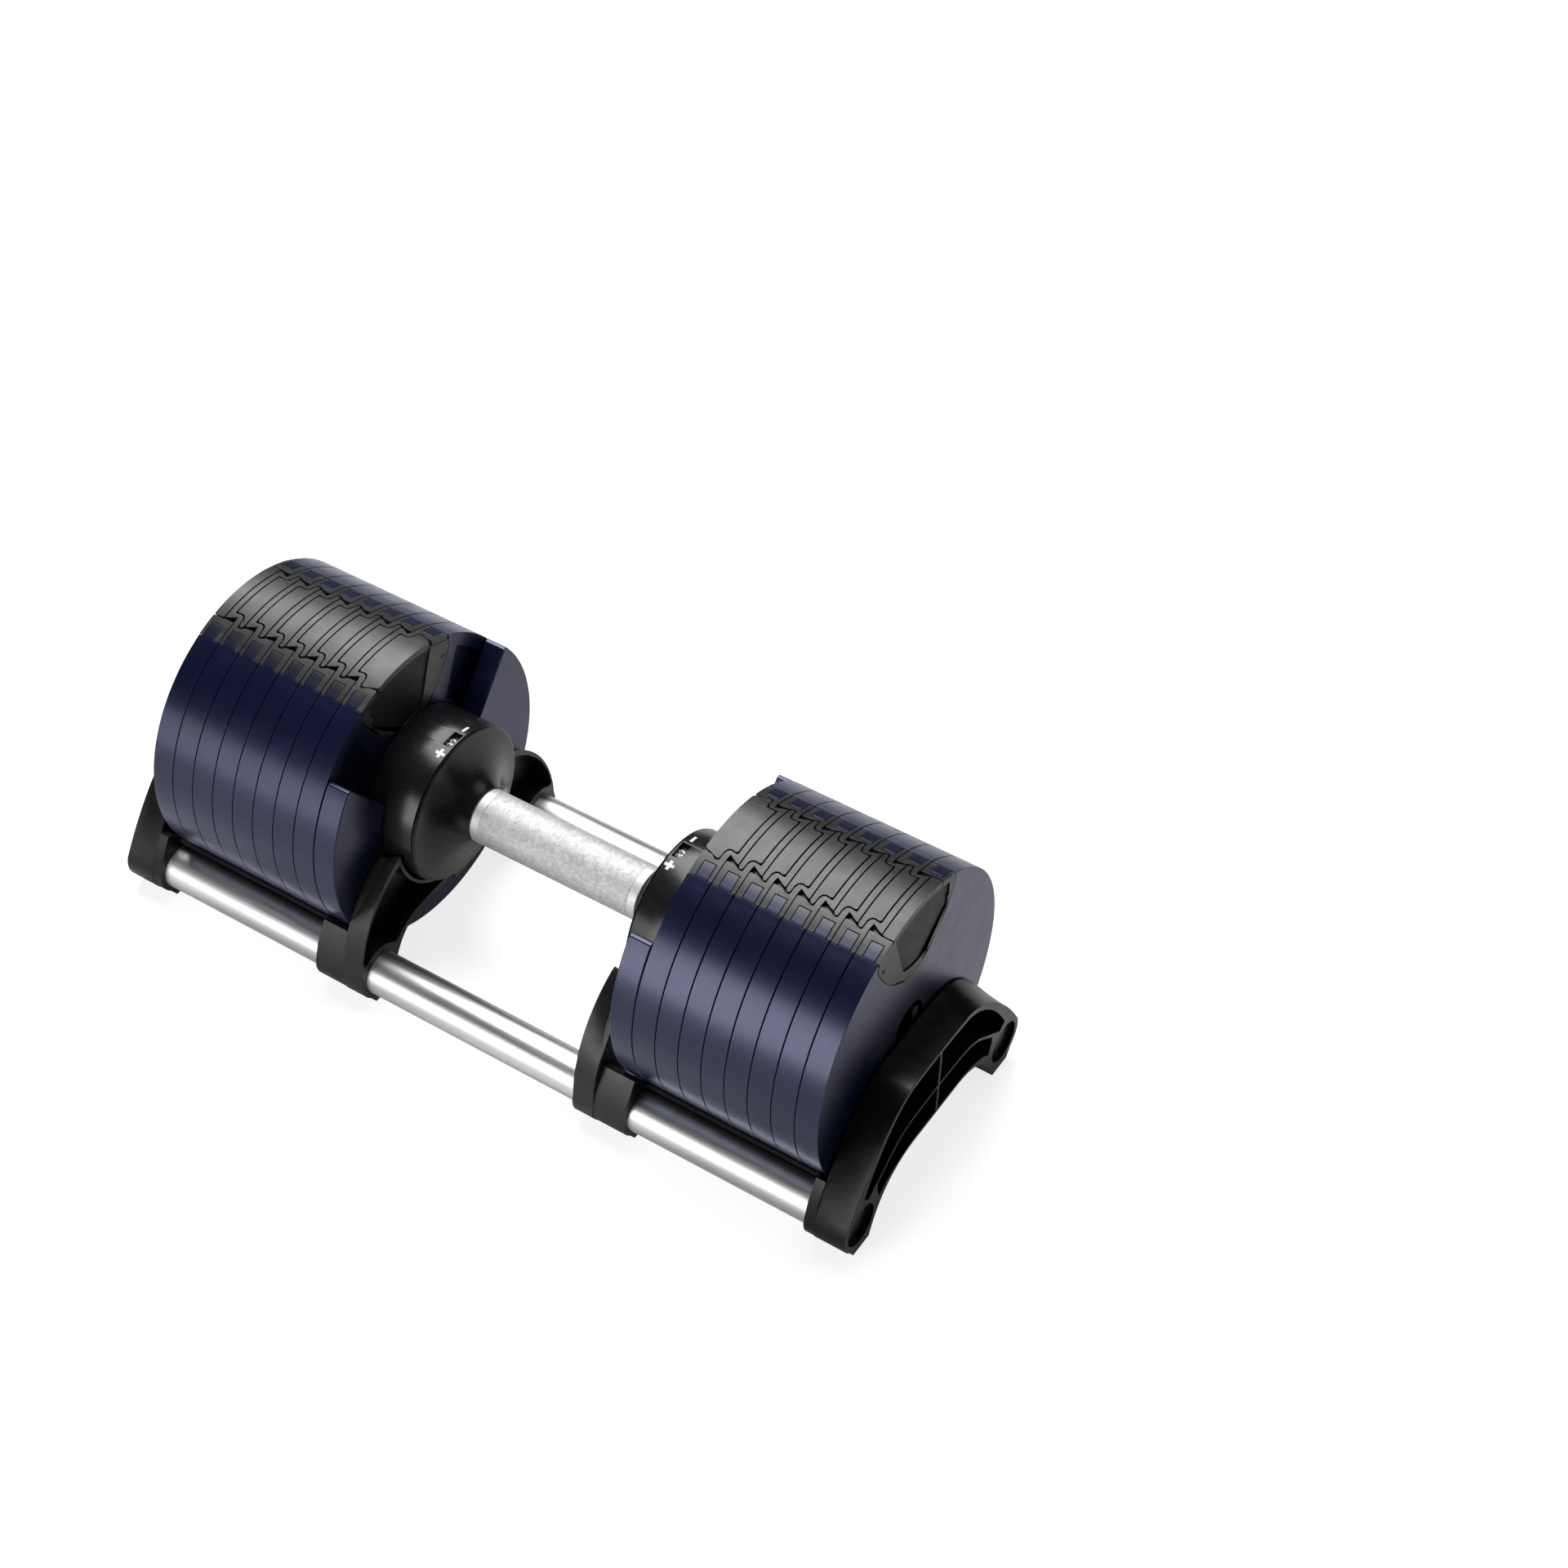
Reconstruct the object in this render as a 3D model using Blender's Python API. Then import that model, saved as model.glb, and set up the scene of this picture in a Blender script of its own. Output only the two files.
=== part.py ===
"""Adjustable dumbbell standing in its two-rail cradle.

The handle axis runs along X at AXIS_HEIGHT above the floor.  Each end carries one
open-topped inner plate and eight full plates.  Turning the grip drives a face gear,
a pinion and a toothed lock bar at each end, which draws the bars out of the plates.
Every outline below is drawn in (y, z) about the handle axis, in metres.
"""
import math

import bmesh
import bpy
from mathutils import Vector

# Overall layout
AXIS_HEIGHT = 0.0900
CLEARANCE = 0.0004

# Plates
PLATE_RADIUS = 0.0860
PLATE_PITCH = 0.01364
PLATE_BORE = 0.0129
FULL_PLATES = 8
STACK_START = 0.1010
INNER_PLATE_START = 0.0873
PLATE_SEGMENTS = 40

# Handle, cones and housings
GRIP_RADIUS = 0.01533
GRIP_END = 0.0532
SLEEVE_END = 0.0665
SLEEVE_SEAT_RADIUS = 0.0146
SLEEVE_BORE = 0.0129
CONE_RIM = 0.0683
CONE_RADIUS = 0.0449
HOUSING_START = 0.0687
HOUSING_END = 0.1006
HOUSING_RADIUS = 0.0454
HOUSING_WALL = 0.0026
GUIDE_RADIUS = 0.0125
GUIDE_BORE = 0.0118
GUIDE_END = 0.0970
DIAL_RADIUS = 0.0424
DIAL_WALL = 0.0020
DIAL_END = 0.0775
WINDOW_START = 0.0700
WINDOW_END = 0.0750
WINDOW_WIDTH = 0.0110

# Gear train
PINION_TEETH = 12
FACE_GEAR_TEETH = 48
PINION_PITCH_RADIUS = 0.004625
FACE_GEAR_RADIUS = PINION_PITCH_RADIUS * FACE_GEAR_TEETH / PINION_TEETH
TOOTH_PITCH = 2.0 * math.pi * PINION_PITCH_RADIUS / PINION_TEETH
ADDENDUM = 0.00065
DEDENDUM = 0.00095
TOOTH_ROOT_SHARE = 0.46
TOOTH_TIP_SHARE = 0.22
PINION_X = 0.0753
PINION_LOW = -0.0045
PINION_HIGH = 0.0205
PINION_JOURNAL_HIGH = 0.0240
PINION_JOURNAL_RADIUS = 0.0020
FACE_TOOTH_INNER = 0.0172
FACE_TOOTH_OUTER = 0.0198
FACE_RIM_INNER = 0.0150
FACE_RIM_OUTER = 0.0206
FACE_RIM_START = 0.0673

# Lock bars
BAR_START = 0.0620
BAR_END = 0.2085
BAR_BACK = 0.0106
BAR_HALF_HEIGHT = 0.0040
RACK_TEETH = 50
RACK_FIRST = -2

# Lock plungers
PLUNGER_X = 0.0830
PLUNGER_RADIUS = 0.0025
PLUNGER_BORE = 0.0029
PLUNGER_TIP = -0.0469
PLUNGER_SHOULDER = -0.0370
PLUNGER_STEM_RADIUS = 0.0012
PLUNGER_STEM_TOP = -0.0318
PLUNGER_BOSS = 0.0084
PLUNGER_BOSS_TOP = -0.0270
SPRING_RADIUS = 0.0021
SPRING_WIRE = 0.00035
SPRING_LOW = -0.0362
SPRING_TURNS = 3
SPRING_STEPS = 10
SPRING_RISE = 0.0024

# Cradle
DUMBBELL_X = 0.0053
RAIL_Y = 0.07214
RAIL_Z = -0.07152
RAIL_RADIUS = 0.01227
RAIL_BORE = 0.0108
RAIL_END = 0.2313
SOCKET_RADIUS = RAIL_RADIUS + CLEARANCE
BOSS_RADIUS = 0.0157
FOOT_OUTER = 0.0780
FOOT_INNER = 0.0630
OUTER_BRACKET_FACE = 0.2348
OUTER_BRACKET_WALL = 0.2161
OUTER_BRACKET_BACK = 0.2103
INNER_BRACKET_FACE = 0.0689
INNER_BRACKET_WALL = 0.0816
INNER_BRACKET_BACK = 0.1010
SADDLE_RADIUS = 0.0475
POST_SIZE = (0.0038, 0.0100, 0.0056)
POST_OVERLAP = 0.0012
POST_Y = 0.0030
POST_Z = -0.0503
HORN_RADIUS = PLATE_RADIUS + 0.0006
HORN_INSET = 0.0003
TRAY_START = 0.1014
TRAY_END = 0.2099
TRAY_INNER = 0.0865
TRAY_OUTER = 0.0887
TRAY_HALF_ANGLE = 52.0

ROUND = 32
SMALL_ROUND = 12


def clear_scene():
    """Empty the scene without closing the file that holds this script."""
    for item in list(bpy.data.objects):
        bpy.data.objects.remove(item, do_unlink=True)


def make_material(name, colour, roughness, metallic):
    """Return a Principled material of one colour."""
    material = bpy.data.materials.new(name)
    material.use_nodes = True
    shader = material.node_tree.nodes["Principled BSDF"]
    shader.inputs["Base Color"].default_value = (*colour, 1.0)
    shader.inputs["Roughness"].default_value = roughness
    shader.inputs["Metallic"].default_value = metallic
    material.diffuse_color = (*colour, 1.0)
    return material


class Solid:
    """A closed mesh put together from rings of points, skins and filled caps."""

    def __init__(self):
        self.mesh = bmesh.new()

    def ring(self, points):
        return [self.mesh.verts.new(point) for point in points]

    def skin(self, first, second):
        """Join two rings of equal length with a band of quads."""
        count = len(first)
        for index in range(count):
            after = (index + 1) % count
            self.mesh.faces.new((first[index], first[after], second[after], second[index]))

    def cap(self, *rings):
        """Fill the flat area inside the first ring and outside the others."""
        edges = []
        for ring in rings:
            for index, vertex in enumerate(ring):
                pair = (vertex, ring[(index + 1) % len(ring)])
                edges.append(self.mesh.edges.get(pair) or self.mesh.edges.new(pair))
        bmesh.ops.triangle_fill(self.mesh, edges=edges, use_beauty=True)

    def place(self, name, material, origin=(0.0, 0.0, AXIS_HEIGHT)):
        """Turn the mesh into a named object whose origin is at the given point."""
        bmesh.ops.recalc_face_normals(self.mesh, faces=self.mesh.faces[:])
        data = bpy.data.meshes.new(name)
        self.mesh.to_mesh(data)
        self.mesh.free()
        data.materials.append(material)
        data.shade_smooth()
        data.set_sharp_from_angle(angle=math.radians(35.0))
        item = bpy.data.objects.new(name, data)
        item.location = origin
        bpy.context.scene.collection.objects.link(item)
        return item


def across(x, outline):
    """Stand a (y, z) outline up in the plane at x."""
    return [(x, y, z) for y, z in outline]


def flat(z, outline):
    """Lay an (x, y) outline in the plane at z."""
    return [(x, y, z) for x, y in outline]


def arc(centre, radius, start, end, steps):
    """Points on a circle in (y, z) from start to end degrees, both ends included."""
    points = []
    for step in range(steps + 1):
        angle = math.radians(start + (end - start) * step / steps)
        points.append((centre[0] + radius * math.cos(angle), centre[1] + radius * math.sin(angle)))
    return points


def circle(centre, radius, steps):
    return arc(centre, radius, 0.0, 360.0, steps)[:-1]


def bezier(a, b, c, d, steps):
    """Points on a cubic curve, the first one left out."""
    points = []
    for step in range(1, steps + 1):
        t = step / steps
        s = 1.0 - t
        weights = (s * s * s, 3.0 * s * s * t, 3.0 * s * t * t, t * t * t)
        points.append(tuple(sum(w * p[axis] for w, p in zip(weights, (a, b, c, d))) for axis in (0, 1)))
    return points


def mirrored(half):
    """Close a half outline (y >= 0) whose two ends lie on y = 0."""
    return half + [(-y, z) for y, z in reversed(half[1:-1])]


def prism(rings, low, high, stand=across):
    """An extruded outline with holes; rings[0] is the outside."""
    solid = Solid()
    bottom = [solid.ring(stand(low, ring)) for ring in rings]
    top = [solid.ring(stand(high, ring)) for ring in rings]
    for first, second in zip(bottom, top):
        solid.skin(first, second)
    solid.cap(*bottom)
    solid.cap(*top)
    return solid


def turned(profile, side, steps=ROUND):
    """Turn a closed (x, radius) profile about the handle axis."""
    solid = Solid()
    rings = [solid.ring(across(side * x, circle((0.0, 0.0), radius, steps))) for x, radius in profile]
    for index, ring in enumerate(rings):
        solid.skin(ring, rings[(index + 1) % len(rings)])
    return solid


def cut(target, name, size, centre, operation="DIFFERENCE"):
    """Cut a box out of an object, or join one to it, with a hidden cutter."""
    solid = Solid()
    half = [value / 2.0 for value in size]
    outline = [(-half[1], -half[2]), (half[1], -half[2]), (half[1], half[2]), (-half[1], half[2])]
    low = solid.ring(across(-half[0], outline))
    high = solid.ring(across(half[0], outline))
    solid.skin(low, high)
    solid.cap(low)
    solid.cap(high)
    cutter = solid.place(name, target.data.materials[0], centre)
    apply_cutter(target, cutter, operation)


def apply_cutter(target, cutter, operation="DIFFERENCE"):
    cutter.hide_render = True
    cutter.display_type = "WIRE"
    boolean = target.modifiers.new(cutter.name, "BOOLEAN")
    boolean.operation = operation
    boolean.object = cutter


# --- plates -------------------------------------------------------------------

INSERT_TOP = (0.0384, 0.0769)
INSERT_BOTTOM = (0.0, 0.0386)


def insert_side(offset):
    """Right-hand edge of the insert from its rim corner to its bottom, moved out by offset."""
    corner = (INSERT_TOP[0] + offset, INSERT_TOP[1])
    bottom = (INSERT_BOTTOM[0], INSERT_BOTTOM[1] - offset)
    side_control = (0.0364 + offset, 0.0520)
    bottom_control = (0.0140, 0.0386 - offset)
    return [corner] + bezier(corner, side_control, bottom_control, bottom, 6)


def insert_outline():
    side = insert_side(0.0)
    corner_angle = math.degrees(math.atan2(side[0][1], side[0][0]))
    crown = arc((0.0, 0.0), math.hypot(*side[0]), 90.0, corner_angle, 5)
    return mirrored(crown + side[1:])


def plate_outline():
    side = insert_side(CLEARANCE)
    corner_angle = math.degrees(math.atan2(math.sqrt(PLATE_RADIUS ** 2 - side[0][0] ** 2), side[0][0]))
    rim = arc((0.0, 0.0), PLATE_RADIUS, -90.0, corner_angle, PLATE_SEGMENTS // 2 - 4)
    return mirrored(rim + side[1:])


def build_full_plates(paint, plastic):
    rings = (plate_outline(), circle((0.0, 0.0), PLATE_BORE, SMALL_ROUND))
    insert = (insert_outline(),)
    for side, label in ((1, "right"), (-1, "left")):
        for number in range(FULL_PLATES):
            low = side * (STACK_START + number * PLATE_PITCH)
            high = low + side * (PLATE_PITCH - CLEARANCE)
            prism(rings, low, high).place(f"{label}_plate_{number + 1}", paint)
            prism(insert, low, high).place(f"{label}_insert_{number + 1}", plastic)


def build_inner_plates(paint):
    """Plates whose tops are cut away so that they pass round the housings."""
    inner_radius = HOUSING_RADIUS + 0.0009
    outer_corner = (0.0668, 0.0541)
    inner_corner = (0.0414, 0.0212)
    outer_angle = math.degrees(math.atan2(outer_corner[1], outer_corner[0]))
    inner_angle = math.degrees(math.atan2(inner_corner[1], inner_corner[0]))
    outer = arc((0.0, 0.0), PLATE_RADIUS, outer_angle, -180.0 - outer_angle, 30)
    inner = arc((0.0, 0.0), inner_radius, -180.0 - inner_angle, inner_angle, 20)
    high = STACK_START - CLEARANCE
    for side, label in ((1, "right"), (-1, "left")):
        rings = (outer + inner,)
        prism(rings, side * INNER_PLATE_START, side * high).place(f"{label}_inner_plate", paint)


# --- handle -------------------------------------------------------------------

def build_grip(steel):
    profile = [(-SLEEVE_END, SLEEVE_BORE), (-SLEEVE_END, SLEEVE_SEAT_RADIUS)]
    profile += [(-GRIP_END, SLEEVE_SEAT_RADIUS), (-GRIP_END, GRIP_RADIUS)]
    profile += [(-x, radius) for x, radius in reversed(profile)]
    turned(profile, 1, 24).place("grip_sleeve", steel)


def build_cones(black):
    hub_radius = SLEEVE_SEAT_RADIUS + CLEARANCE
    throat = (GRIP_END + CLEARANCE, GRIP_RADIUS + 0.0006)
    rim = (CONE_RIM, CONE_RADIUS)
    front = [throat] + bezier(throat, (0.0585, 0.0190), (0.0655, 0.0300), rim, 5)
    back = [(CONE_RIM, CONE_RADIUS - 0.0022), (0.0674, 0.0375), (0.0644, 0.0275), (0.0626, 0.0225)]
    hub = [(0.0669, 0.0185), (0.0669, hub_radius)]
    profile = [(throat[0], hub_radius)] + front + back + hub
    for side, label in ((1, "right"), (-1, "left")):
        turned(profile, side).place(f"{label}_cone", black)


def build_dials(plastic):
    """Number rings that turn with the grip behind the housing windows."""
    start = CONE_RIM + CLEARANCE
    inner = DIAL_RADIUS - DIAL_WALL
    profile = [(start, inner), (start, DIAL_RADIUS), (DIAL_END, DIAL_RADIUS), (DIAL_END, inner)]
    for side, label in ((1, "right"), (-1, "left")):
        turned(profile, side).place(f"{label}_number_ring", plastic)


# --- housings and guide -------------------------------------------------------

def build_housings(black):
    inner = HOUSING_RADIUS - HOUSING_WALL
    end_wall = HOUSING_END - 0.0028
    bore = GUIDE_RADIUS + CLEARANCE
    profile = [(HOUSING_START, inner), (HOUSING_START, HOUSING_RADIUS)]
    profile += [(HOUSING_END, HOUSING_RADIUS), (HOUSING_END, bore)]
    profile += [(end_wall, bore), (end_wall, inner)]
    window_middle = (WINDOW_START + WINDOW_END) / 2.0
    window_size = (WINDOW_END - WINDOW_START, WINDOW_WIDTH, 0.0100)
    boss_low = -HOUSING_RADIUS + 0.0012
    boss_size = (PLUNGER_BOSS, PLUNGER_BOSS, PLUNGER_BOSS_TOP - boss_low)
    for side, label in ((1, "right"), (-1, "left")):
        housing = turned(profile, side).place(f"{label}_housing", black)
        window_centre = (side * window_middle, 0.0, AXIS_HEIGHT + HOUSING_RADIUS)
        cut(housing, f"{label}_window_cutter", window_size, window_centre)
        boss_centre = (side * PLUNGER_X, 0.0, AXIS_HEIGHT + (PLUNGER_BOSS_TOP + boss_low) / 2.0)
        cut(housing, f"{label}_boss_shape", boss_size, boss_centre, "UNION")
        bore_ring = circle((0.0, 0.0), PLUNGER_BORE, SMALL_ROUND)
        bore_top = PLUNGER_BOSS_TOP - 0.0012
        drill = prism((bore_ring,), -0.0500, bore_top, flat)
        drill_origin = (side * PLUNGER_X, 0.0, AXIS_HEIGHT)
        apply_cutter(housing, drill.place(f"{label}_plunger_drill", black, drill_origin))


def build_guide(steel):
    """Fixed tube inside the grip that carries the lock bars."""
    profile = [(-GUIDE_END, GUIDE_BORE), (-GUIDE_END, GUIDE_RADIUS)]
    profile += [(GUIDE_END, GUIDE_RADIUS), (GUIDE_END, GUIDE_BORE)]
    guide = turned(profile, 1, 24).place("bar_guide_tube", steel)
    slot = 2.0 * (PINION_PITCH_RADIUS + ADDENDUM) + 0.0012
    for side, label in ((1, "right"), (-1, "left")):
        centre = (side * PINION_X, 0.0, AXIS_HEIGHT + side * GUIDE_RADIUS)
        cut(guide, f"{label}_pinion_slot", (slot, slot, 0.0160), centre)


# --- gear train ---------------------------------------------------------------

def tooth_steps(pitch):
    """Offsets of a tooth's root and tip corners from its middle, for one pitch."""
    root = pitch * TOOTH_ROOT_SHARE / 2.0
    tip = pitch * TOOTH_TIP_SHARE / 2.0
    return ((-root, -DEDENDUM), (-tip, ADDENDUM), (tip, ADDENDUM), (root, -DEDENDUM))


def pinion_outline():
    points = []
    for tooth in range(PINION_TEETH):
        for along, height in tooth_steps(TOOTH_PITCH):
            angle = 2.0 * math.pi * tooth / PINION_TEETH + along / PINION_PITCH_RADIUS
            radius = PINION_PITCH_RADIUS + height
            points.append((radius * math.cos(angle), radius * math.sin(angle)))
    return points


def build_pinions(steel):
    """Pinions on upright axes; the left one hangs down so both bars retract together."""
    outline = pinion_outline()
    journal = circle((0.0, 0.0), PINION_JOURNAL_RADIUS, SMALL_ROUND)
    for side, label in ((1, "right"), (-1, "left")):
        solid = Solid()
        low = solid.ring(flat(side * PINION_LOW, outline))
        high = solid.ring(flat(side * PINION_HIGH, outline))
        neck = solid.ring(flat(side * PINION_HIGH, journal))
        end = solid.ring(flat(side * PINION_JOURNAL_HIGH, journal))
        solid.skin(low, high)
        solid.skin(neck, end)
        solid.cap(low)
        solid.cap(high, neck)
        solid.cap(end)
        solid.place(f"{label}_pinion", steel, (side * PINION_X, 0.0, AXIS_HEIGHT))


def face_gear_teeth(solid, side, pitch_plane):
    """Raise radial teeth on one side and return the rings where they meet the root plane.

    A gap stands straight above and straight below the handle axis, where the pinions mesh.
    """
    pitch_angle = 2.0 * math.pi / FACE_GEAR_TEETH
    share = pitch_angle / TOOTH_PITCH
    rows = {FACE_TOOTH_INNER: [], FACE_TOOTH_OUTER: []}
    for radius, row in rows.items():
        for tooth in range(FACE_GEAR_TEETH):
            middle = pitch_angle * (tooth + 0.5)
            corners = []
            for along, height in tooth_steps(TOOTH_PITCH):
                angle = middle + along * share
                point = (side * (pitch_plane + height), radius * math.cos(angle), radius * math.sin(angle))
                corners.append(solid.mesh.verts.new(point))
            row.append(corners)
    inner_row, outer_row = rows[FACE_TOOTH_INNER], rows[FACE_TOOTH_OUTER]
    for tooth in range(FACE_GEAR_TEETH):
        inner, outer = inner_row[tooth], outer_row[tooth]
        after = (tooth + 1) % FACE_GEAR_TEETH
        solid.mesh.faces.new(inner)
        solid.mesh.faces.new(outer)
        for first, second in ((0, 1), (1, 2), (2, 3)):
            solid.mesh.faces.new((inner[first], inner[second], outer[second], outer[first]))
        gap = (inner[3], inner_row[after][0], outer_row[after][0], outer[3])
        solid.mesh.faces.new(gap)
    root_inner = [vertex for corners in inner_row for vertex in (corners[0], corners[3])]
    root_outer = [vertex for corners in outer_row for vertex in (corners[0], corners[3])]
    return root_inner, root_outer


def build_face_gears(steel):
    """Crown gears fixed behind the cones."""
    pitch_plane = PINION_X - PINION_PITCH_RADIUS
    root_plane = pitch_plane - DEDENDUM
    bore = circle((0.0, 0.0), FACE_RIM_INNER, 24)
    edge = circle((0.0, 0.0), FACE_RIM_OUTER, 24)
    for side, label in ((1, "right"), (-1, "left")):
        solid = Solid()
        root_inner, root_outer = face_gear_teeth(solid, side, pitch_plane)
        bore_root = solid.ring(across(side * root_plane, bore))
        edge_root = solid.ring(across(side * root_plane, edge))
        bore_back = solid.ring(across(side * FACE_RIM_START, bore))
        edge_back = solid.ring(across(side * FACE_RIM_START, edge))
        solid.skin(bore_root, bore_back)
        solid.skin(edge_root, edge_back)
        solid.cap(root_inner, bore_root)
        solid.cap(edge_root, root_outer)
        solid.cap(edge_back, bore_back)
        solid.place(f"{label}_face_gear", steel)


def build_lock_bars(steel):
    """Toothed bars that pass through the plates; each reaches the last plate at rest."""
    for side, label in ((1, "right"), (-1, "left")):
        outline = [(BAR_START, BAR_BACK), (BAR_START, PINION_PITCH_RADIUS + DEDENDUM)]
        for tooth in range(RACK_FIRST, RACK_FIRST + RACK_TEETH):
            middle = PINION_X + TOOTH_PITCH * (tooth + 0.5)
            for along, height in tooth_steps(TOOTH_PITCH):
                outline.append((middle + along, PINION_PITCH_RADIUS - height))
        outline += [(BAR_END, PINION_PITCH_RADIUS + DEDENDUM), (BAR_END, BAR_BACK)]
        outline = [(side * x, side * y) for x, y in outline]
        bar = prism((outline,), -BAR_HALF_HEIGHT, BAR_HALF_HEIGHT, flat)
        bar.place(f"{label}_lock_bar", steel)


# --- safety plungers ----------------------------------------------------------

def build_plungers(steel):
    """Plungers that the cradle's saddle presses, each with a return spring."""
    body = circle((0.0, 0.0), PLUNGER_RADIUS, SMALL_ROUND)
    stem = circle((0.0, 0.0), PLUNGER_STEM_RADIUS, SMALL_ROUND)
    for side, label in ((1, "right"), (-1, "left")):
        solid = Solid()
        tip = solid.ring(flat(PLUNGER_TIP, body))
        shoulder = solid.ring(flat(PLUNGER_SHOULDER, body))
        neck = solid.ring(flat(PLUNGER_SHOULDER, stem))
        top = solid.ring(flat(PLUNGER_STEM_TOP, stem))
        solid.skin(tip, shoulder)
        solid.skin(neck, top)
        solid.cap(tip)
        solid.cap(shoulder, neck)
        solid.cap(top)
        origin = (side * PLUNGER_X, 0.0, AXIS_HEIGHT)
        solid.place(f"{label}_lock_plunger", steel, origin)
        build_spring(f"{label}_plunger_spring", steel, origin)


def build_spring(name, steel, origin):
    steps = SPRING_TURNS * SPRING_STEPS
    sides = 4
    solid = Solid()
    rings = []
    for step in range(steps + 1):
        angle = 2.0 * math.pi * step / SPRING_STEPS
        radial = Vector((math.cos(angle), math.sin(angle), 0.0))
        height = SPRING_LOW + SPRING_RISE * step / SPRING_STEPS
        middle = radial * SPRING_RADIUS + Vector((0.0, 0.0, height))
        points = []
        for index in range(sides):
            turn = 2.0 * math.pi * index / sides
            upward = Vector((0.0, 0.0, math.sin(turn)))
            points.append(middle + (radial * math.cos(turn) + upward) * SPRING_WIRE)
        rings.append(solid.ring(points))
    for first, second in zip(rings, rings[1:]):
        solid.skin(first, second)
    solid.cap(rings[0])
    solid.cap(rings[-1])
    solid.place(name, steel, origin)


# --- cradle -------------------------------------------------------------------

def foot_half(shoulder, arch):
    """From the shoulder curve's end round the rail boss, across the foot and up to the arch."""
    boss = arc((RAIL_Y, RAIL_Z), BOSS_RADIUS, 20.0, -50.0, 4)
    points = bezier(shoulder[0], shoulder[1], shoulder[2], boss[0], 6) + boss[1:]
    points += [(FOOT_OUTER, -AXIS_HEIGHT), (FOOT_INNER, -AXIS_HEIGHT)]
    points += bezier((FOOT_INNER, -AXIS_HEIGHT), arch[0], arch[1], arch[2], 6)
    return points


def horn_outline():
    """The part of a foot that reaches under the plates, for y > 0."""
    boss = arc((RAIL_Y, RAIL_Z), BOSS_RADIUS - HORN_INSET, 20.0, -50.0, 4)
    floor = -AXIS_HEIGHT + HORN_INSET
    top = (0.0792, -0.0372)
    points = [top, (0.0855, -0.0540)] + boss
    points += [(FOOT_OUTER - HORN_INSET, floor), (FOOT_INNER + HORN_INSET, floor)]
    start = (0.0618, -0.0826)
    end_angle = math.degrees(math.atan2(top[1], top[0]))
    start_angle = math.degrees(math.atan2(-0.0700, 0.0560))
    points.append(start)
    points += arc((0.0, 0.0), HORN_RADIUS, start_angle, end_angle, 6)[:-1]
    return points


def bracket(face, wall, back, face_outline, wall_outline, pockets, pocket_depth):
    """A bracket lofted from its open face to its wall, with two horns behind."""
    solid = Solid()
    horn = horn_outline()
    flip = [(-y, z) for y, z in horn]
    sockets = [circle((side * RAIL_Y, RAIL_Z), SOCKET_RADIUS, 20) for side in (1, -1)]
    face_ring = solid.ring(across(face, face_outline))
    wall_ring = solid.ring(across(wall, wall_outline))
    solid.skin(face_ring, wall_ring)
    face_holes = []
    wall_holes = []
    for outline, socket in zip((horn, flip), sockets):
        mouth = solid.ring(across(face, socket))
        inner = solid.ring(across(back, socket))
        foot = solid.ring(across(wall, outline))
        foot_end = solid.ring(across(back, outline))
        solid.skin(mouth, inner)
        solid.skin(foot, foot_end)
        solid.cap(foot_end, inner)
        face_holes.append(mouth)
        wall_holes.append(foot)
    inward = math.copysign(pocket_depth, wall - face)
    for outline in pockets:
        mouth = solid.ring(across(face, outline))
        floor = solid.ring(across(face + inward, outline))
        solid.skin(mouth, floor)
        solid.cap(floor)
        face_holes.append(mouth)
    solid.cap(face_ring, *face_holes)
    solid.cap(wall_ring, *wall_holes)
    return solid


def outer_bracket_outline(lift):
    """End bracket outline; lift raises its shoulders towards the plates."""
    crown = -0.0070 + lift * 0.5
    shoulder_start = (0.0280, crown - 0.0005)
    shoulder = (shoulder_start, (0.0500, -0.0120 + lift), (0.0720, -0.0400 + lift))
    arch = ((0.0580, -0.0760), (0.0480, -0.0570), (0.0220, -0.0565))
    half = [(0.0, crown), shoulder_start] + foot_half(shoulder, arch) + [(0.0, -0.0565)]
    return mirrored(half)


def outer_bracket_pockets():
    """Two hollows beside the middle rib, y > 0, with a curved rib between them."""
    upper = [(0.0012, -0.0102), (0.0270, -0.0108)]
    upper += bezier(upper[-1], (0.0440, -0.0140), (0.0600, -0.0360), (0.0680, -0.0500), 4)
    upper += [(0.0655, -0.0572), (0.0540, -0.0488), (0.0420, -0.0400), (0.0260, -0.0350), (0.0012, -0.0342)]
    lower = [(0.0012, -0.0358), (0.0260, -0.0366), (0.0414, -0.0416), (0.0530, -0.0503)]
    lower += [(0.0565, -0.0560), (0.0500, -0.0620)]
    lower += bezier(lower[-1], (0.0450, -0.0560), (0.0330, -0.0540), (0.0220, -0.0540), 3)
    lower += [(0.0012, -0.0540)]
    return upper, lower


def inner_bracket_outline(corner_y, corner_z):
    """Saddle bracket outline, open round the housing, with its corner at the given point."""
    corner_angle = math.degrees(math.atan2(corner_z, math.sqrt(SADDLE_RADIUS ** 2 - corner_z ** 2)))
    saddle = arc((0.0, 0.0), SADDLE_RADIUS, -90.0, corner_angle, 8)
    shoulder = ((corner_y, corner_z), (0.0660, corner_z - 0.0080), (0.0860, -0.0340))
    arch = ((0.0600, -0.0760), (0.0540, -0.0520), (0.0280, -0.0518))
    half = saddle + [(corner_y, corner_z)] + foot_half(shoulder, arch) + [(0.0, -0.0518)]
    return mirrored(half)


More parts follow.
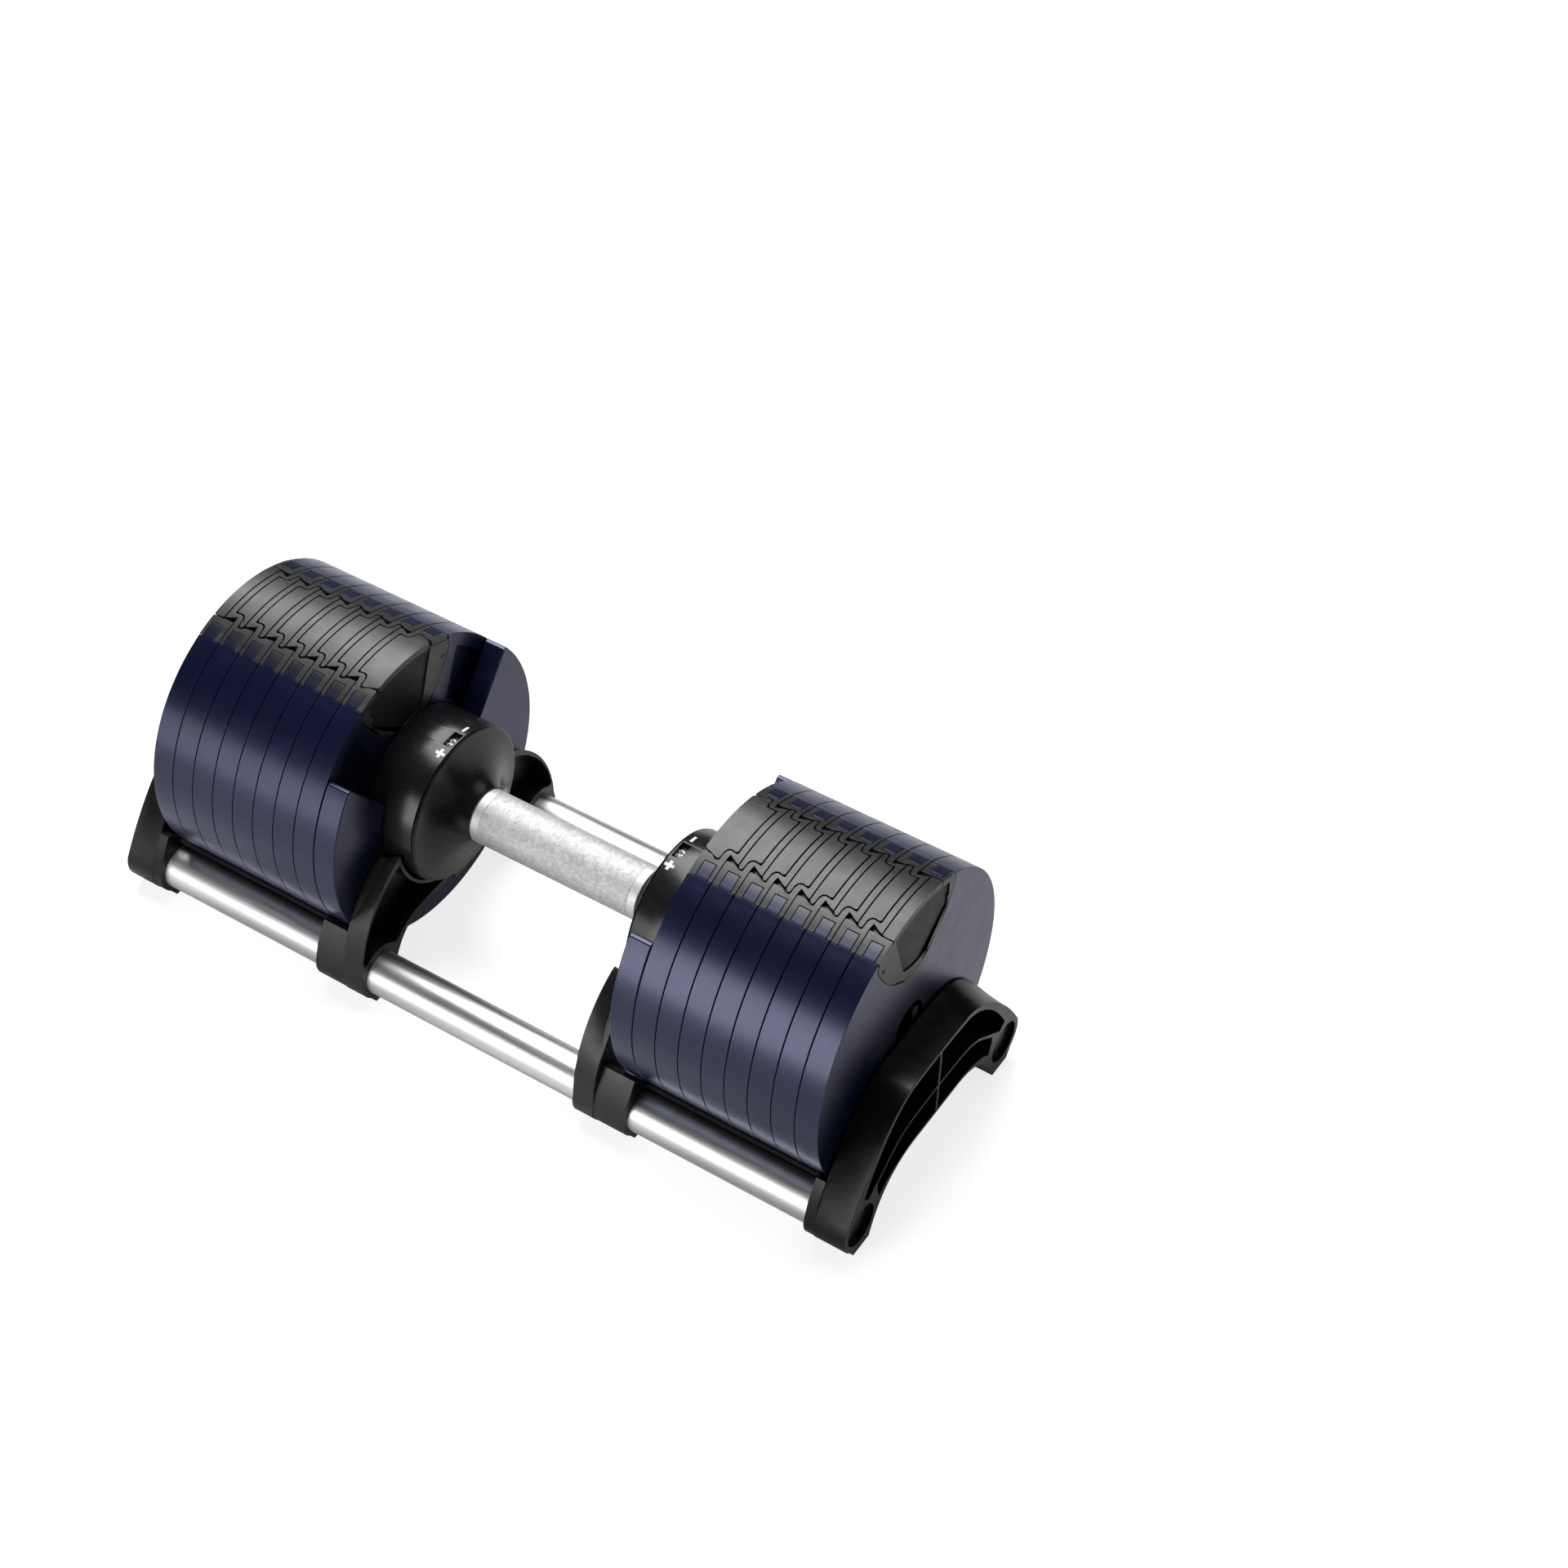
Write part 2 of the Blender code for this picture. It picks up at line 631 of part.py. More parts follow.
def build_brackets(black, grey):
    outer_face = outer_bracket_outline(0.0)
    outer_wall = outer_bracket_outline(0.0080)
    pockets = list(outer_bracket_pockets())
    pockets += [[(-y, z) for y, z in pocket] for pocket in pockets]
    inner_face = inner_bracket_outline(0.0490, -0.0040)
    inner_wall = inner_bracket_outline(0.0505, -0.0125)
    for side, label in ((1, "right"), (-1, "left")):
        stations = [side * x for x in (OUTER_BRACKET_FACE, OUTER_BRACKET_WALL, OUTER_BRACKET_BACK)]
        outer = bracket(*stations, outer_face, outer_wall, pockets, 0.0150)
        outer.place(f"{label}_end_bracket", black)
        stations = [side * x for x in (INNER_BRACKET_FACE, INNER_BRACKET_WALL, INNER_BRACKET_BACK)]
        inner = bracket(*stations, inner_face, inner_wall, (), 0.0)
        saddle = inner.place(f"{label}_saddle_bracket", grey)
        post_x = side * (INNER_BRACKET_FACE - POST_SIZE[0] / 2.0 + POST_OVERLAP)
        post_centre = (post_x, side * POST_Y, AXIS_HEIGHT + POST_Z)
        cut(saddle, f"{label}_post_shape", POST_SIZE, post_centre, "UNION")


def build_rails(aluminium):
    for side, label in ((-1, "front"), (1, "rear")):
        centre = (side * RAIL_Y, RAIL_Z)
        rings = (circle(centre, RAIL_RADIUS, 24), circle(centre, RAIL_BORE, 24))
        prism(rings, -RAIL_END, RAIL_END).place(f"{label}_rail", aluminium)


def build_trays(black):
    """Thin curved liners between the rails and the full plates."""
    start = -90.0 - TRAY_HALF_ANGLE
    end = -90.0 + TRAY_HALF_ANGLE
    outline = arc((0.0, 0.0), TRAY_OUTER, start, end, 16)
    outline += arc((0.0, 0.0), TRAY_INNER, end, start, 16)
    for side, label in ((1, "right"), (-1, "left")):
        prism((outline,), side * TRAY_START, side * TRAY_END).place(f"{label}_plate_tray", black)


def seat_dumbbell():
    """Move the finished dumbbell to its rest place, a little off the cradle's middle."""
    for item in bpy.data.objects:
        item.location.x += DUMBBELL_X


def main():
    clear_scene()
    paint = make_material("navy_paint", (0.035, 0.045, 0.105), 0.45, 0.3)
    insert_plastic = make_material("insert_plastic", (0.09, 0.09, 0.095), 0.5, 0.0)
    gloss_black = make_material("gloss_black_plastic", (0.012, 0.012, 0.013), 0.18, 0.0)
    black_plastic = make_material("black_plastic", (0.02, 0.02, 0.021), 0.35, 0.0)
    grey_plastic = make_material("grey_plastic", (0.06, 0.06, 0.062), 0.45, 0.0)
    aluminium = make_material("satin_aluminium", (0.82, 0.83, 0.84), 0.3, 1.0)
    grip_steel = make_material("knurled_steel", (0.75, 0.75, 0.76), 0.35, 1.0)
    gear_steel = make_material("gear_steel", (0.55, 0.55, 0.56), 0.4, 1.0)
    dial_plastic = make_material("black_dial", (0.02, 0.02, 0.02), 0.4, 0.0)
    build_full_plates(paint, insert_plastic)
    build_inner_plates(paint)
    build_grip(grip_steel)
    build_cones(gloss_black)
    build_dials(dial_plastic)
    build_housings(gloss_black)
    build_guide(gear_steel)
    build_pinions(gear_steel)
    build_face_gears(gear_steel)
    build_lock_bars(gear_steel)
    build_plungers(gear_steel)
    seat_dumbbell()
    build_brackets(black_plastic, grey_plastic)
    build_rails(aluminium)
    build_trays(black_plastic)


main()
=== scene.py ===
"""Looks of the adjustable dumbbell and its cradle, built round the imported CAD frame.

Lengths are in millimetres about the handle axis, (x, y, z), and become metres in at().
"""

import math

import bmesh
import bpy
from mathutils import Matrix, Vector


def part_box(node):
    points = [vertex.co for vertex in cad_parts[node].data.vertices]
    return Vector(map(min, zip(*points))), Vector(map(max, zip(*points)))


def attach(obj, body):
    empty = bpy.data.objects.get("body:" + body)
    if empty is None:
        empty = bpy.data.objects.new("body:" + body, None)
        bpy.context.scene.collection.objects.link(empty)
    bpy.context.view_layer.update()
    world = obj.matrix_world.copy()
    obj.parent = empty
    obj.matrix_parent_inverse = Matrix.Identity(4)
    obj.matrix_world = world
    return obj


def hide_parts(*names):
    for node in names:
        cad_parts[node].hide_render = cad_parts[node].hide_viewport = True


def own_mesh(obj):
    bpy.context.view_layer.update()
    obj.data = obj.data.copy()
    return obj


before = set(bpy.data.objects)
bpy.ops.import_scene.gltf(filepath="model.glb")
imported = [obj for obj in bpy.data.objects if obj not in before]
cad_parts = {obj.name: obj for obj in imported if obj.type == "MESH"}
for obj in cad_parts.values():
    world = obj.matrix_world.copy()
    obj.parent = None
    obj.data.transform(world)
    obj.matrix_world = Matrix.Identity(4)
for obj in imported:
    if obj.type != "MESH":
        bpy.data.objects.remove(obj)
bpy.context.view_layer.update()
SIDES = ((1, "right"), (-1, "left"))
MM = 0.001              # metres in a millimetre
PER_METRE = 1000.0      # millimetres in a metre


def span(node):
    """Lowest and highest corner of a CAD node in millimetres about the handle axis."""
    low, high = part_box(node)
    shift = Vector((0.0, 0.0, AXIS))
    return (low - shift) * PER_METRE, (high - shift) * PER_METRE


def reach(node):
    """How far a CAD node starts and ends from the middle of the dumbbell or cradle, along X."""
    low, high = span(node)
    middle = 0.0 if "bracket" in node or "tray" in node else SEAT_X * PER_METRE
    ends = abs(low.x - middle), abs(high.x - middle)
    return min(ends), max(ends)


sleeve_low, sleeve_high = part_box("grip_sleeve")
AXIS = (sleeve_low.z + sleeve_high.z) / 2.0
SEAT_X = (sleeve_low.x + sleeve_high.x) / 2.0     # where the dumbbell rests along the cradle
PLATE = span("right_plate_1")[1].y
RAIL = (span("rear_rail")[0] + span("rear_rail")[1]) / 2.0
RAIL_RADIUS = (span("rear_rail")[1].y - span("rear_rail")[0].y) / 2.0
RAIL_BORE = 10.8
FLOOR = -AXIS * PER_METRE


# --- mesh helpers ---------------------------------------------------------------

def at(x, y, z):
    """A place in metres from millimetres about the handle axis."""
    return Vector((x * MM, y * MM, z * MM + AXIS))


def polar(radius, angle, centre=(0.0, 0.0)):
    """The (y, z) point at an angle in degrees from straight up towards +y."""
    turned = math.radians(angle)
    return centre[0] + radius * math.sin(turned), centre[1] + radius * math.cos(turned)


def angle_of(point):
    """Angle of a (y, z) point in degrees from straight up towards +y."""
    return math.degrees(math.atan2(point[0], point[1]))


def arc(radius, start, end, steps, centre=(0.0, 0.0)):
    """Points of an arc between two angles, ends included."""
    return [polar(radius, start + (end - start) * step / steps, centre) for step in range(steps + 1)]


def circle(radius, steps, centre=(0.0, 0.0)):
    """Points of a whole circle."""
    return arc(radius, 0.0, 360.0, steps, centre)[:-1]


def bezier(a, b, c, d, steps):
    """Points of a cubic curve after its first one."""
    points = []
    for step in range(1, steps + 1):
        t = step / steps
        s = 1.0 - t
        weights = (s ** 3, 3.0 * s * s * t, 3.0 * s * t * t, t ** 3)
        points.append(tuple(sum(w * p[axis] for w, p in zip(weights, (a, b, c, d))) for axis in (0, 1)))
    return points


def smooth(points, steps):
    """A Catmull-Rom curve through the points."""
    last = len(points) - 1
    curve = []
    for index in range(last):
        a, b, c, d = (points[min(max(index + k, 0), last)] for k in (-1, 0, 1, 2))
        for step in range(steps):
            t = step / steps
            curve.append(tuple(
                0.5 * (2 * b[k] + (c[k] - a[k]) * t + (2 * a[k] - 5 * b[k] + 4 * c[k] - d[k]) * t * t
                       + (3 * b[k] - a[k] - 3 * c[k] + d[k]) * t ** 3)
                for k in (0, 1)))
    return curve + [points[-1]]


def flipped(outline):
    """A (y, z) outline mirrored in the middle plane."""
    return [(-y, z) for y, z in outline]


def mirrored(half):
    """Close a half outline (y >= 0) whose two ends lie on y = 0."""
    return half + flipped(reversed(half[1:-1]))


def ring(mesh, x, outline):
    """Vertices of a (y, z) outline at one place along X."""
    return [mesh.verts.new(at(x, y, z)) for y, z in outline]


def skin(mesh, first, second):
    """Quads between two closed rings with the same number of points."""
    count = len(first)
    for index in range(count):
        after = (index + 1) % count
        mesh.faces.new((first[index], first[after], second[after], second[index]))


def cap(mesh, *rings):
    """Triangles between closed rings that lie in one plane."""
    edges = []
    for verts in rings:
        for index, vertex in enumerate(verts):
            pair = (vertex, verts[(index + 1) % len(verts)])
            edges.append(mesh.edges.get(pair) or mesh.edges.new(pair))
    bmesh.ops.triangle_fill(mesh, edges=edges, use_beauty=True)


def stack(stations, slabs):
    """Slabs of constant outline side by side along X; each slab is a list of (y, z) loops.

    Neighbouring slabs share the points that their loops have in common.
    """
    mesh = bmesh.new()
    verts = [{} for _ in stations]
    edges = [{} for _ in stations]

    def vertex(station, point):
        key = (round(point[0], 4), round(point[1], 4))
        if key not in verts[station]:
            verts[station][key] = mesh.verts.new(at(stations[station], *point))
        return verts[station][key]

    for index, loops in enumerate(slabs):
        for loop in loops:
            for number, point in enumerate(loop):
                after = loop[(number + 1) % len(loop)]
                near = (vertex(index, point), vertex(index, after))
                far = (vertex(index + 1, point), vertex(index + 1, after))
                mesh.faces.new((near[0], near[1], far[1], far[0]))
                for station, pair in ((index, near), (index + 1, far)):
                    key = frozenset(pair)
                    if key in edges[station]:
                        del edges[station][key]
                    else:
                        edges[station][key] = pair
    for station in edges:
        if station:
            lines = [mesh.edges.get(pair) or mesh.edges.new(pair) for pair in station.values()]
            bmesh.ops.triangle_fill(mesh, edges=lines, use_beauty=True)
    return mesh


def lathe(profile, steps):
    """Turn a closed (x, radius) profile about the handle axis."""
    mesh = bmesh.new()
    rings = [ring(mesh, x, circle(radius, steps)) for x, radius in profile]
    for index, first in enumerate(rings):
        skin(mesh, first, rings[(index + 1) % len(rings)])
    return mesh


def tile(mesh, outline, low, high):
    """Add an (x, arc length) outline to a mesh, raised from radius low to high under the plates' rim."""
    slice_length = 1.8
    patch = bmesh.new()
    face = patch.faces.new([patch.verts.new((x, a, 0.0)) for x, a in outline])
    lengths = [a for x, a in outline]
    count = max(2, int((max(lengths) - min(lengths)) / slice_length))
    for step in range(1, count):
        a = min(lengths) + (max(lengths) - min(lengths)) * step / count
        geometry = patch.verts[:] + patch.edges[:] + patch.faces[:]
        bmesh.ops.bisect_plane(patch, geom=geometry, plane_co=(0, a, 0), plane_no=(0, 1, 0), dist=1e-5)
    raised = bmesh.ops.extrude_face_region(patch, geom=patch.faces[:], use_keep_orig=True)
    for vertex in raised["geom"]:
        if isinstance(vertex, bmesh.types.BMVert):
            vertex.co.z = 1.0
    copies = {}
    for vertex in patch.verts:
        radius = high if vertex.co.z > 0.5 else low
        angle = vertex.co.y / PLATE
        copies[vertex] = mesh.verts.new(at(vertex.co.x, radius * math.sin(angle), radius * math.cos(angle)))
    for face in patch.faces:
        mesh.faces.new([copies[vertex] for vertex in face.verts])
    patch.free()


def piece(name, mesh, material, body, nodes=(), bevel=0.0, segments=2, angle=38.0):
    """Turn a mesh into a shown piece that rides on a CAD body."""
    if body != "cradle":
        bmesh.ops.translate(mesh, vec=(SEAT_X, 0.0, 0.0), verts=mesh.verts[:])
    bmesh.ops.recalc_face_normals(mesh, faces=mesh.faces[:])
    data = bpy.data.meshes.new(name)
    mesh.to_mesh(data)
    mesh.free()
    data.materials.append(material)
    item = bpy.data.objects.new(name, data)
    bpy.context.scene.collection.objects.link(item)
    data.shade_smooth()
    if bevel:
        rounding = item.modifiers.new("rounding", "BEVEL")
        rounding.width = bevel * MM
        rounding.segments = segments
        rounding.limit_method = "ANGLE"
        rounding.angle_limit = math.radians(angle)
        rounding.harden_normals = True
        rounding.use_clamp_overlap = True
    else:
        data.set_sharp_from_angle(angle=math.radians(angle))
    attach(item, body)
    if nodes:
        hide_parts(*nodes)
    return item


# --- materials ------------------------------------------------------------------

class Paint:
    """Node tree of one material, fed by the object's own coordinates."""

    def __init__(self, name, base, rough, metallic=0.0, coat=0.0, coat_rough=0.1, specular=0.5):
        self.material = bpy.data.materials.new(name)
        self.material.use_nodes = True
        self.nodes = self.material.node_tree.nodes
        self.links = self.material.node_tree.links
        self.shader = self.nodes["Principled BSDF"]
        self.shader.inputs["Base Color"].default_value = (*base, 1.0)
        self.shader.inputs["Roughness"].default_value = rough
        self.shader.inputs["Metallic"].default_value = metallic
        self.shader.inputs["Coat Weight"].default_value = coat
        self.shader.inputs["Coat Roughness"].default_value = coat_rough
        self.shader.inputs["Specular IOR Level"].default_value = specular
        self.base = base
        self.rough = rough
        self.place = self.nodes.new("ShaderNodeTexCoord").outputs["Object"]
        self.normal = None
        self.colour = None

    def noise(self, scale, detail=3.0, stretch=(1.0, 1.0, 1.0)):
        mapping = self.nodes.new("ShaderNodeMapping")
        mapping.inputs["Scale"].default_value = stretch
        self.links.new(self.place, mapping.inputs["Vector"])
        noise = self.nodes.new("ShaderNodeTexNoise")
        noise.inputs["Scale"].default_value = scale
        noise.inputs["Detail"].default_value = detail
        noise.inputs["Roughness"].default_value = 0.55
        self.links.new(mapping.outputs["Vector"], noise.inputs["Vector"])
        return noise.outputs["Fac"]

    def remap(self, value, low, high, start=0.3, end=0.7):
        node = self.nodes.new("ShaderNodeMapRange")
        for socket, number in zip(("From Min", "From Max", "To Min", "To Max"), (start, end, low, high)):
            node.inputs[socket].default_value = number
        self.links.new(value, node.inputs["Value"])
        return node.outputs["Result"]

    def math(self, operation, first, second=0.0):
        node = self.nodes.new("ShaderNodeMath")
        node.operation = operation
        for socket, value in zip(node.inputs, (first, second)):
            if isinstance(value, (int, float)):
                socket.default_value = value
            else:
                self.links.new(value, socket)
        return node.outputs[0]

    def tint(self, factor, colour):
        """Mix the colour so far towards another one."""
        mix = self.nodes.new("ShaderNodeMix")
        mix.data_type = "RGBA"
        mix.inputs["A"].default_value = (*self.base, 1.0)
        if self.colour:
            self.links.new(self.colour, mix.inputs["A"])
        mix.inputs["B"].default_value = (*colour, 1.0)
        self.links.new(factor, mix.inputs["Factor"])
        self.colour = mix.outputs["Result"]
        self.links.new(self.colour, self.shader.inputs["Base Color"])
        return self

    def mottle(self, scale, colour, low=0.0, high=1.0, stretch=(1.0, 1.0, 1.0)):
        return self.tint(self.remap(self.noise(scale, 4.0, stretch), low, high), colour)

    def uneven(self, scale, spread, stretch=(1.0, 1.0, 1.0)):
        """Vary the roughness by plus or minus spread."""
        value = self.remap(self.noise(scale, 4.0, stretch), self.rough - spread, self.rough + spread)
        self.links.new(value, self.shader.inputs["Roughness"])
        return self

    def bump(self, height, strength, distance):
        node = self.nodes.new("ShaderNodeBump")
        node.inputs["Strength"].default_value = strength
        node.inputs["Distance"].default_value = distance * MM
        self.links.new(height, node.inputs["Height"])
        if self.normal:
            self.links.new(self.normal, node.inputs["Normal"])
        self.normal = node.outputs["Normal"]
        self.links.new(self.normal, self.shader.inputs["Normal"])
        return self

    def worn(self, colour, amount):
        """Lighten convex edges."""
        edge = self.nodes.new("ShaderNodeNewGeometry").outputs["Pointiness"]
        broken = self.remap(self.noise(600.0), 0.35, 1.0)
        factor = self.math("MULTIPLY", self.remap(edge, 0.0, amount, 0.53, 0.60), broken)
        return self.tint(factor, colour)


def plate_paint():
    """Midnight blue with a fine grain, and a painted highlight: the plates' tabs on the near side of the
    crown are tinted grey, standing in for a neutral reflection of the light.
    """
    blue = (0.0032, 0.0060, 0.0350)
    paint = Paint("plate_paint", blue, 0.34, metallic=0.5, coat=0.55, coat_rough=0.25)
    paint.shader.inputs["Specular Tint"].default_value = (0.72, 0.72, 1.0, 1.0)
    paint.mottle(35.0, (0.0045, 0.0080, 0.0440), 0.0, 0.8)
    paint.mottle(2600.0, (0.0120, 0.0165, 0.0640), 0.0, 0.32)
    # painted highlight: grey tint near the top of the rim on the near side (y < 0) only, standing in for a
    # neutral reflection of the light on the tabs
    split = paint.nodes.new("ShaderNodeSeparateXYZ")
    paint.links.new(paint.place, split.inputs["Vector"])
    height = paint.remap(split.outputs["Z"], 0.0, 0.8, AXIS + 0.0775, AXIS + 0.0805)
    near = paint.remap(split.outputs["Y"], 1.0, 0.0, -0.02, 0.0)
    paint.tint(paint.math("MULTIPLY", height, near), (0.020, 0.020, 0.021))
    paint.uneven(90.0, 0.04)
    paint.bump(paint.noise(2600.0, 2.0), 0.30, 0.05)
    paint.bump(paint.noise(420.0, 2.0), 0.08, 0.05)
    paint.worn((0.06, 0.06, 0.09), 0.5)
    return paint.material


def moulded(name, base, light, rough, grain=1500.0, strength=0.3, specular=0.5):
    """Moulded plastic with a fine grain, mottled from its base colour towards a lighter one."""
    paint = Paint(name, base, rough, specular=specular)
    paint.mottle(30.0, light, 0.0, 0.6)
    paint.mottle(900.0, light, 0.0, 0.35)
    paint.uneven(120.0, 0.05)
    paint.bump(paint.noise(grain, 3.0), strength, 0.06)
    paint.worn(tuple(2.0 * c + 0.03 for c in light), 0.5)
    return paint.material


def gloss_black():
    paint = Paint("gloss_black_plastic", (0.004, 0.004, 0.0042), 0.25, specular=0.42)
    paint.mottle(60.0, (0.009, 0.009, 0.010), 0.0, 1.0)
    paint.uneven(260.0, 0.04, (1.0, 3.0, 3.0))
    paint.bump(paint.noise(3200.0, 2.0), 0.05, 0.02)
    paint.worn((0.05, 0.05, 0.052), 0.5)
    return paint.material


def rail_aluminium():
    paint = Paint("satin_aluminium", (0.80, 0.81, 0.82), 0.42, metallic=1.0)
    paint.shader.inputs["Anisotropic"].default_value = 0.4
    paint.mottle(40.0, (0.80, 0.81, 0.83), 0.0, 0.7, (0.3, 1.0, 1.0))
    paint.mottle(1400.0, (0.74, 0.75, 0.77), 0.0, 0.5, (0.02, 1.0, 1.0))
    paint.uneven(900.0, 0.06, (0.03, 1.0, 1.0))
    paint.bump(paint.noise(1500.0, 2.0, (0.02, 1.0, 1.0)), 0.12, 0.03)
    return paint.material


def knurled_steel():
    """Fine diamond knurl with a sandy grain between two smooth collars."""
    paint = Paint("knurled_steel", (0.66, 0.66, 0.67), 0.60, metallic=1.0)
    split = paint.nodes.new("ShaderNodeSeparateXYZ")
    paint.links.new(paint.place, split.inputs["Vector"])
    x, y = paint.math("SUBTRACT", split.outputs["X"], SEAT_X), split.outputs["Y"]
    z = paint.math("SUBTRACT", split.outputs["Z"], AXIS)
    around = paint.math("MULTIPLY", paint.math("ARCTAN2", y, z), GRIP_RADIUS * MM)
    half_turns = math.pi / (KNURL_PITCH * MM)
    waves = []
    for direction in (1.0, -1.0):
        line = paint.math("ADD", x, paint.math("MULTIPLY", around, direction))
        waves.append(paint.math("ABSOLUTE", paint.math("SINE", paint.math("MULTIPLY", line, half_turns))))
    diamond = paint.math("MINIMUM", *waves)
    inside = paint.math("LESS_THAN", paint.math("ABSOLUTE", x), (GRIP_END - COLLAR) * MM)
    sand = paint.math("MULTIPLY", paint.remap(paint.noise(1500.0, 3.0), 0.0, 1.0), inside)
    height = paint.math("MULTIPLY", diamond, inside)
    # painted shade: the knurl's grooves are darkened, the raised diamonds are left at the steel's colour
    paint.tint(paint.math("MULTIPLY", paint.math("SUBTRACT", inside, height), 0.30), (0.38, 0.38, 0.40))
    paint.tint(paint.math("MULTIPLY", sand, 0.60), (0.95, 0.95, 0.95))
    blotch = paint.remap(paint.noise(420.0, 3.0, (1.0, 0.6, 1.4)), 0.0, 0.55)
    paint.tint(paint.math("MULTIPLY", blotch, inside), (0.34, 0.34, 0.35))
    paint.uneven(300.0, 0.05)
    paint.bump(height, 0.50, 0.14)
    paint.bump(sand, 0.85, 0.14)
    return paint.material


def machined_steel():
    paint = Paint("machined_steel", (0.50, 0.50, 0.52), 0.36, metallic=1.0)
    paint.mottle(80.0, (0.40, 0.40, 0.43), 0.0, 0.8)
    paint.mottle(1200.0, (0.62, 0.62, 0.64), 0.0, 0.5, (0.1, 1.0, 1.0))
    paint.uneven(500.0, 0.08)
    paint.bump(paint.noise(1400.0, 2.0, (0.08, 1.0, 1.0)), 0.2, 0.03)
    return paint.material


def white_marking():
    paint = Paint("white_marking", (0.86, 0.86, 0.86), 0.45)
    paint.mottle(900.0, (0.74, 0.74, 0.74), 0.0, 0.6)
    paint.bump(paint.noise(1800.0, 2.0), 0.15, 0.02)
    return paint.material


def neutral(value):
    """A grey with a touch more blue."""
    return value, value, value + 0.0002


GRIP_END = 53.2
GRIP_RADIUS = (sleeve_high.z - sleeve_low.z) * PER_METRE / 2.0
COLLAR = 5.6
KNURL_PITCH = 1.2
PLATE_PAINT = plate_paint()
INSERT = moulded("insert_plastic", (0.017, 0.017, 0.0175), (0.026, 0.026, 0.0265), 0.34)
PANEL_DARK = moulded("insert_panel_plastic", neutral(0.008), neutral(0.012), 0.45, 1500.0, 0.2, 0.22)
GLOSS = gloss_black()
BRACKET = moulded("bracket_black_plastic", neutral(0.005), neutral(0.007), 0.30, 1800.0, 0.08, 0.26)
SADDLE = moulded("saddle_grey_plastic", neutral(0.010), neutral(0.015), 0.36, 1800.0, 0.10, 0.40)
LINER = moulded("liner_plastic", neutral(0.004), neutral(0.006), 0.6, specular=0.12)
DIAL = moulded("dial_plastic", (0.010, 0.010, 0.010), (0.014, 0.014, 0.014), 0.35)
RAIL_METAL = rail_aluminium()
KNURL = knurled_steel()
STEEL = machined_steel()
WHITE = white_marking()


# --- plates and inserts ---------------------------------------------------------

PLATES = 8
PITCH = 13.64
BORE = 12.9
CORNER = 25.0           # half angle of an insert on the rim, degrees
TAB = (4.0, 10.9)       # the steel tab between an insert's legs, from the plate's inner face
TAB_TOP = 18.9          # angle where a tab ends, degrees
TAB_FLOOR = 81.0        # radius of the seat that a tab stands on
STRIP = (3.2, 6.6)      # the strip of each insert that lies over the next plate
CROWN = 82.6            # radius of an insert's body under its frame and cover
FRAME_TOP = 85.75
DEGREE = math.radians(1.0) * PLATE
SPREAD = CORNER / 23.6  # the frame and cover are drawn for a half angle of 23.6 degrees
TILE_ROOT = 82.0        # radius inside the body where the frame and cover start
NOTCH_FOOT = 38.6       # height of the insert's lowest point
PANEL_FOOT = (0.0, 44.4)
PANEL_DEPTH = 1.3
PANEL_RIM = 80.0        # height above which a sunken panel's sides run out to the crown


def notch_side(offset):
    """Insert edge from the rim corner to the bottom, y > 0, moved out by offset."""
    angle = math.radians(CORNER)
    corner = (PLATE * math.sin(angle) + offset, PLATE * math.cos(angle))
    seat = (corner[0] - 0.1, math.sqrt(TAB_FLOOR ** 2 - (corner[0] - 0.1) ** 2))
    middle = (31.0 + offset, 61.5)
    low = (0.0, NOTCH_FOOT - offset)
    points = [corner, seat] + bezier(seat, (36.2 + offset, 70.0), (34.0 + offset, 66.0), middle, 5)
    points += bezier(middle, (26.5 + offset, 53.0), (14.5, 38.9 - offset), low, 12)
    return points


def plate_loops():
    """Plate outline without and with the two steel tabs."""
    side = notch_side(0.35)
    corner = angle_of(side[0])
    rim = arc(PLATE, 180.0, corner, 100)
    plain = rim[:-1] + side
    tab = arc(PLATE, corner, TAB_TOP, 5)[1:] + arc(TAB_FLOOR, TAB_TOP, corner, 5)[:-1]
    tabbed = rim[:-1] + [side[0]] + tab + side[1:]
    return mirrored(plain), mirrored(tabbed)


def face_pocket(side):
    """Hollow in the inner face of the innermost plate, beside the insert."""
    outer = arc(78.0, 33.2, 118.0, 30)
    inner = arc(47.5, 112.0, 40.0, 24)
    corner = bezier(inner[-1], (34.0, 43.0), (38.5, 58.0), outer[0], 8)[:-1]
    return [(side * y, z) for y, z in outer + inner + corner]


def panel_halves():
    """Sunken panel on an insert's face, open to the rim: its rounded half and its straight half."""
    rounded = smooth([(31.0, 90.0), (31.0, 77.0), (30.2, 65.0), (27.2, 57.5), (22.6, 49.6), (15.6, 44.6)], 4)
    straight = [(26.5, 90.0), (20.6, 78.0), (16.6, 66.3), (11.6, 50.4), (10.8, 48.9), (9.4, 47.6)]
    return rounded + [(6.1, 43.9), PANEL_FOOT], straight + [(3.4, 45.2), PANEL_FOOT]


def insert_loops():
    """Insert outline without and with the slots that the steel tabs stand in."""
    side = notch_side(0.0)
    top = [polar(CROWN, angle) for angle in (0.0, 4.0, 8.0, 12.0, 15.0, 18.3)]
    plain = top + [(side[0][0], CROWN * math.cos(math.radians(CORNER)))] + side[1:]
    slotted = top + arc(80.4, 18.3, 24.4, 5) + side[2:]
    return mirrored(plain), mirrored(slotted)


def spread(points):
    """Fit a drawn (x, arc length) outline to the insert's half angle."""
    return [(x, length * SPREAD) for x, length in points]


def both_sides(half):
    """Close half of an (x, arc length) outline whose two ends lie on the crown."""
    return half + [(x, -length) for x, length in reversed(half[1:-1])]


